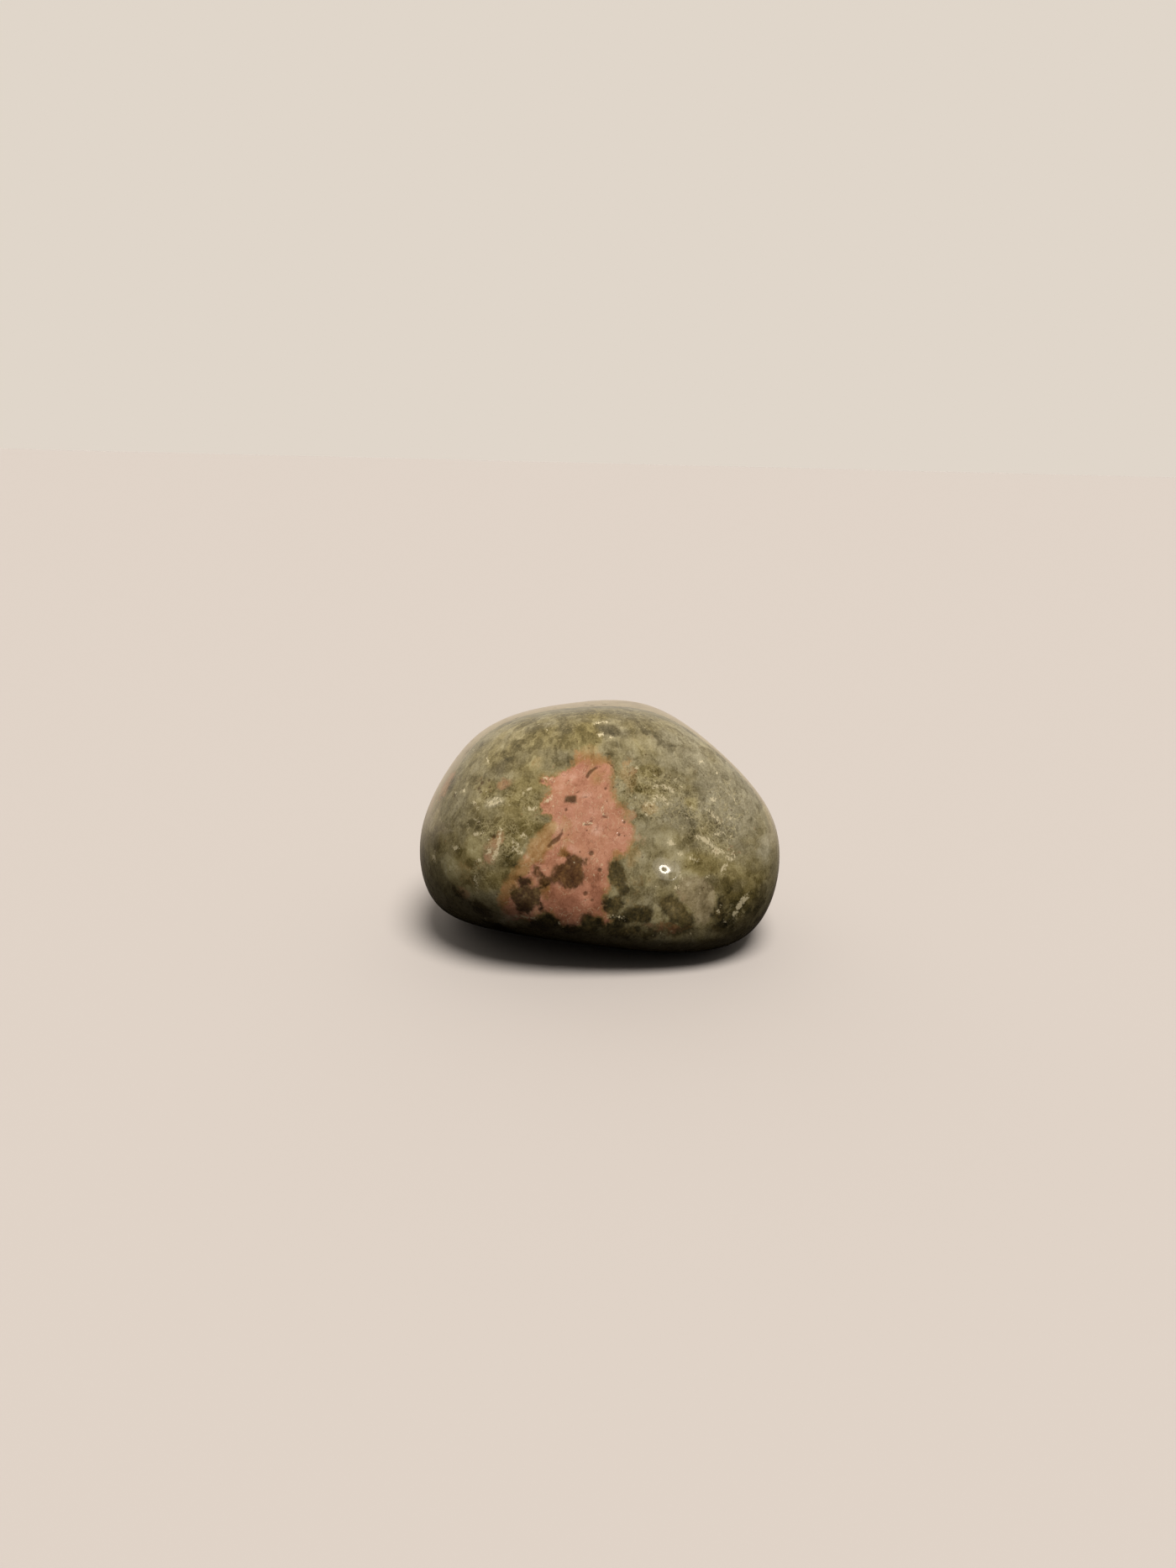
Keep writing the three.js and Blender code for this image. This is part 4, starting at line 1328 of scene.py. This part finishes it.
# %% Key lamp and fill lamp
LAMP_COLOUR = "#fff6ec"
LAMP_TARGET = Vector((0, 0, 0.01))
# Where the light comes from, how wide the lamp is in the sky in degrees, and its strength
SUN_LAMPS = {
    "key lamp": ((0.133, -0.33, 0.881), 29, 4.4),
    "fill lamp": ((-0.2, 0.85, 0.45), 80, 0.8),
}

for name, (come_from, width, strength) in SUN_LAMPS.items():
    sun = bpy.data.lights.new(name, "SUN")
    sun.angle, sun.energy = math.radians(width), strength
    sun.color = linear(LAMP_COLOUR)[:3]
    lamp = bpy.data.objects.new(name, sun)
    aim = (LAMP_TARGET - Vector(come_from)).to_track_quat("-Z", "Y")
    lamp.matrix_world = Matrix.Translation(come_from) @ aim.to_matrix().to_4x4()
    lamp.visible_glossy = False
    bpy.context.scene.collection.objects.link(lamp)
    print(name, "width in degrees:", width, "strength:", strength)

# %% [markdown]
# The small ring on the front is the mirror image of a ring lamp. Its place follows from the
# mirror rule: the lamp lies where the sight line, reflected at that spot, points to. The ring
# would show every pit, so the rule is asked at a few pixels round the middle only, which tells
# how far the reflected line moves for each pixel, across and down.

# %% From a highlight to its lamp
HIGHLIGHT_PX = (790.5, 1035.0)
HIGHLIGHT_HALF_PX = (6.5, 4.7)
HIGHLIGHT_TURN = math.radians(25)
LAMP_DISTANCE = 900.0
PROBE_PX = 6


def mirrored(across, down):
    """Where the sight line beside the highlight's middle ends once the skin has mirrored it, in mm."""
    sight = sight_line(HIGHLIGHT_PX[0] + across, HIGHLIGHT_PX[1] + down)
    spot, _, face, _ = skin.ray_cast(EYE, sight)
    corners = list(mesh.polygons[face].vertices)
    shares = interpolate.poly_3d_calc([Vector(sunk_spots[i]) for i in corners], spot)
    normal = sum((share * Vector(skin_directions[i]) for share, i in zip(shares, corners)), Vector())
    normal.normalize()
    return spot + (sight - 2 * sight.dot(normal) * normal) * LAMP_DISTANCE


lamp_middle = mirrored(0, 0)
per_px_across = (mirrored(PROBE_PX, 0) - mirrored(-PROBE_PX, 0)) / (2 * PROBE_PX)
per_px_down = (mirrored(0, PROBE_PX) - mirrored(0, -PROBE_PX)) / (2 * PROBE_PX)
print("ring lamp at, mm:", [round(c) for c in lamp_middle])

# %% The ring lamp
# From its middle outwards: where, as a share of the highlight's half size, and how bright
SHINE = ((0.02, 1.0), (0.54, 1.2), (0.59, 22.0), (0.95, 22.0), (1.03, 3.0),
         (1.5, 1.9), (2.1, 1.1), (2.4, 1.3), (2.9, 0.0))
LAMP_STEPS = 48
GLOW_COLOUR = "#fff6e8"

lamp_points = []
for share, _ in SHINE:
    for i in range(LAMP_STEPS):
        angle = 2 * math.pi * i / LAMP_STEPS
        wide = share * HIGHLIGHT_HALF_PX[0] * math.cos(angle)
        high = share * HIGHLIGHT_HALF_PX[1] * math.sin(angle)
        across = wide * math.cos(HIGHLIGHT_TURN) - high * math.sin(HIGHLIGHT_TURN)
        down = wide * math.sin(HIGHLIGHT_TURN) + high * math.cos(HIGHLIGHT_TURN)
        lamp_points.append((lamp_middle + per_px_across * across + per_px_down * down) * MM)
lamp_faces = []
for ring in range(len(SHINE) - 1):
    for i in range(LAMP_STEPS):
        here, beside = ring * LAMP_STEPS + i, ring * LAMP_STEPS + (i + 1) % LAMP_STEPS
        lamp_faces.append((here, beside, beside + LAMP_STEPS, here + LAMP_STEPS))

lamp_mesh = bpy.data.meshes.new("ring_lamp")
lamp_mesh.from_pydata(lamp_points, [], lamp_faces)
shine = lamp_mesh.attributes.new("shine", "FLOAT", "POINT")
shine.data.foreach_set("value", [strength for _, strength in SHINE for _ in range(LAMP_STEPS)])
glow, nodes = empty_material("lamp glow")
light = add(nodes, "ShaderNodeEmission", {
    "Color": linear(GLOW_COLOUR),
    "Strength": add(nodes, "ShaderNodeAttribute", attribute_name="shine").outputs["Fac"]})
add(nodes, "ShaderNodeOutputMaterial", {"Surface": light})
lamp_mesh.materials.append(glow)
ring_lamp = bpy.data.objects.new("ring_lamp", lamp_mesh)
ring_lamp.visible_camera = False
bpy.context.scene.collection.objects.link(ring_lamp)
ring_lamp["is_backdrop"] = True
print("ring lamp faces:", len(lamp_faces))

# %% [markdown]
# The sky is dim near the front and below, and brighter high up and at the back, as in a room
# with a pale ceiling. The camera itself sees an even backdrop instead.

# %% Sky
SKY_COLOUR, BACKDROP_COLOUR = "#e3dacd", "#e0d6ca"
SKY_TILT = 0.7
SKY_FROM, SKY_TO = (-0.5, 0.02), (0.7, 0.54)

world = bpy.data.worlds.new("studio")
bpy.context.scene.world = world
world.use_nodes = True
sky = world.node_tree
sky.nodes.clear()
sky_place = add(sky, "ShaderNodeSeparateXYZ", [add(sky, "ShaderNodeTexCoord").outputs["Object"]]).outputs
height = add(sky, "ShaderNodeMath", [sky_place["Y"], SKY_TILT, sky_place["Z"]], operation="MULTIPLY_ADD")
strength = add(sky, "ShaderNodeMapRange", {
    "Value": height, "From Min": SKY_FROM[0], "From Max": SKY_TO[0],
    "To Min": SKY_FROM[1], "To Max": SKY_TO[1]}, interpolation_type="SMOOTHSTEP")
light = add(sky, "ShaderNodeBackground", {"Color": linear(SKY_COLOUR), "Strength": strength})
backdrop = add(sky, "ShaderNodeBackground", {"Color": linear(BACKDROP_COLOUR), "Strength": 1.0})
to_camera = add(sky, "ShaderNodeLightPath").outputs["Is Camera Ray"]
add(sky, "ShaderNodeOutputWorld", [add(sky, "ShaderNodeMixShader", [to_camera, light, backdrop])])
bpy.context.scene.view_settings.view_transform = "Standard"
print("sky, weakest and strongest:", SKY_FROM[1], SKY_TO[1])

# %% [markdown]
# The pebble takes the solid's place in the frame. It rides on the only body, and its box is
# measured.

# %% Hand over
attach(pebble, "root")
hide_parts(NODE)

low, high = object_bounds()
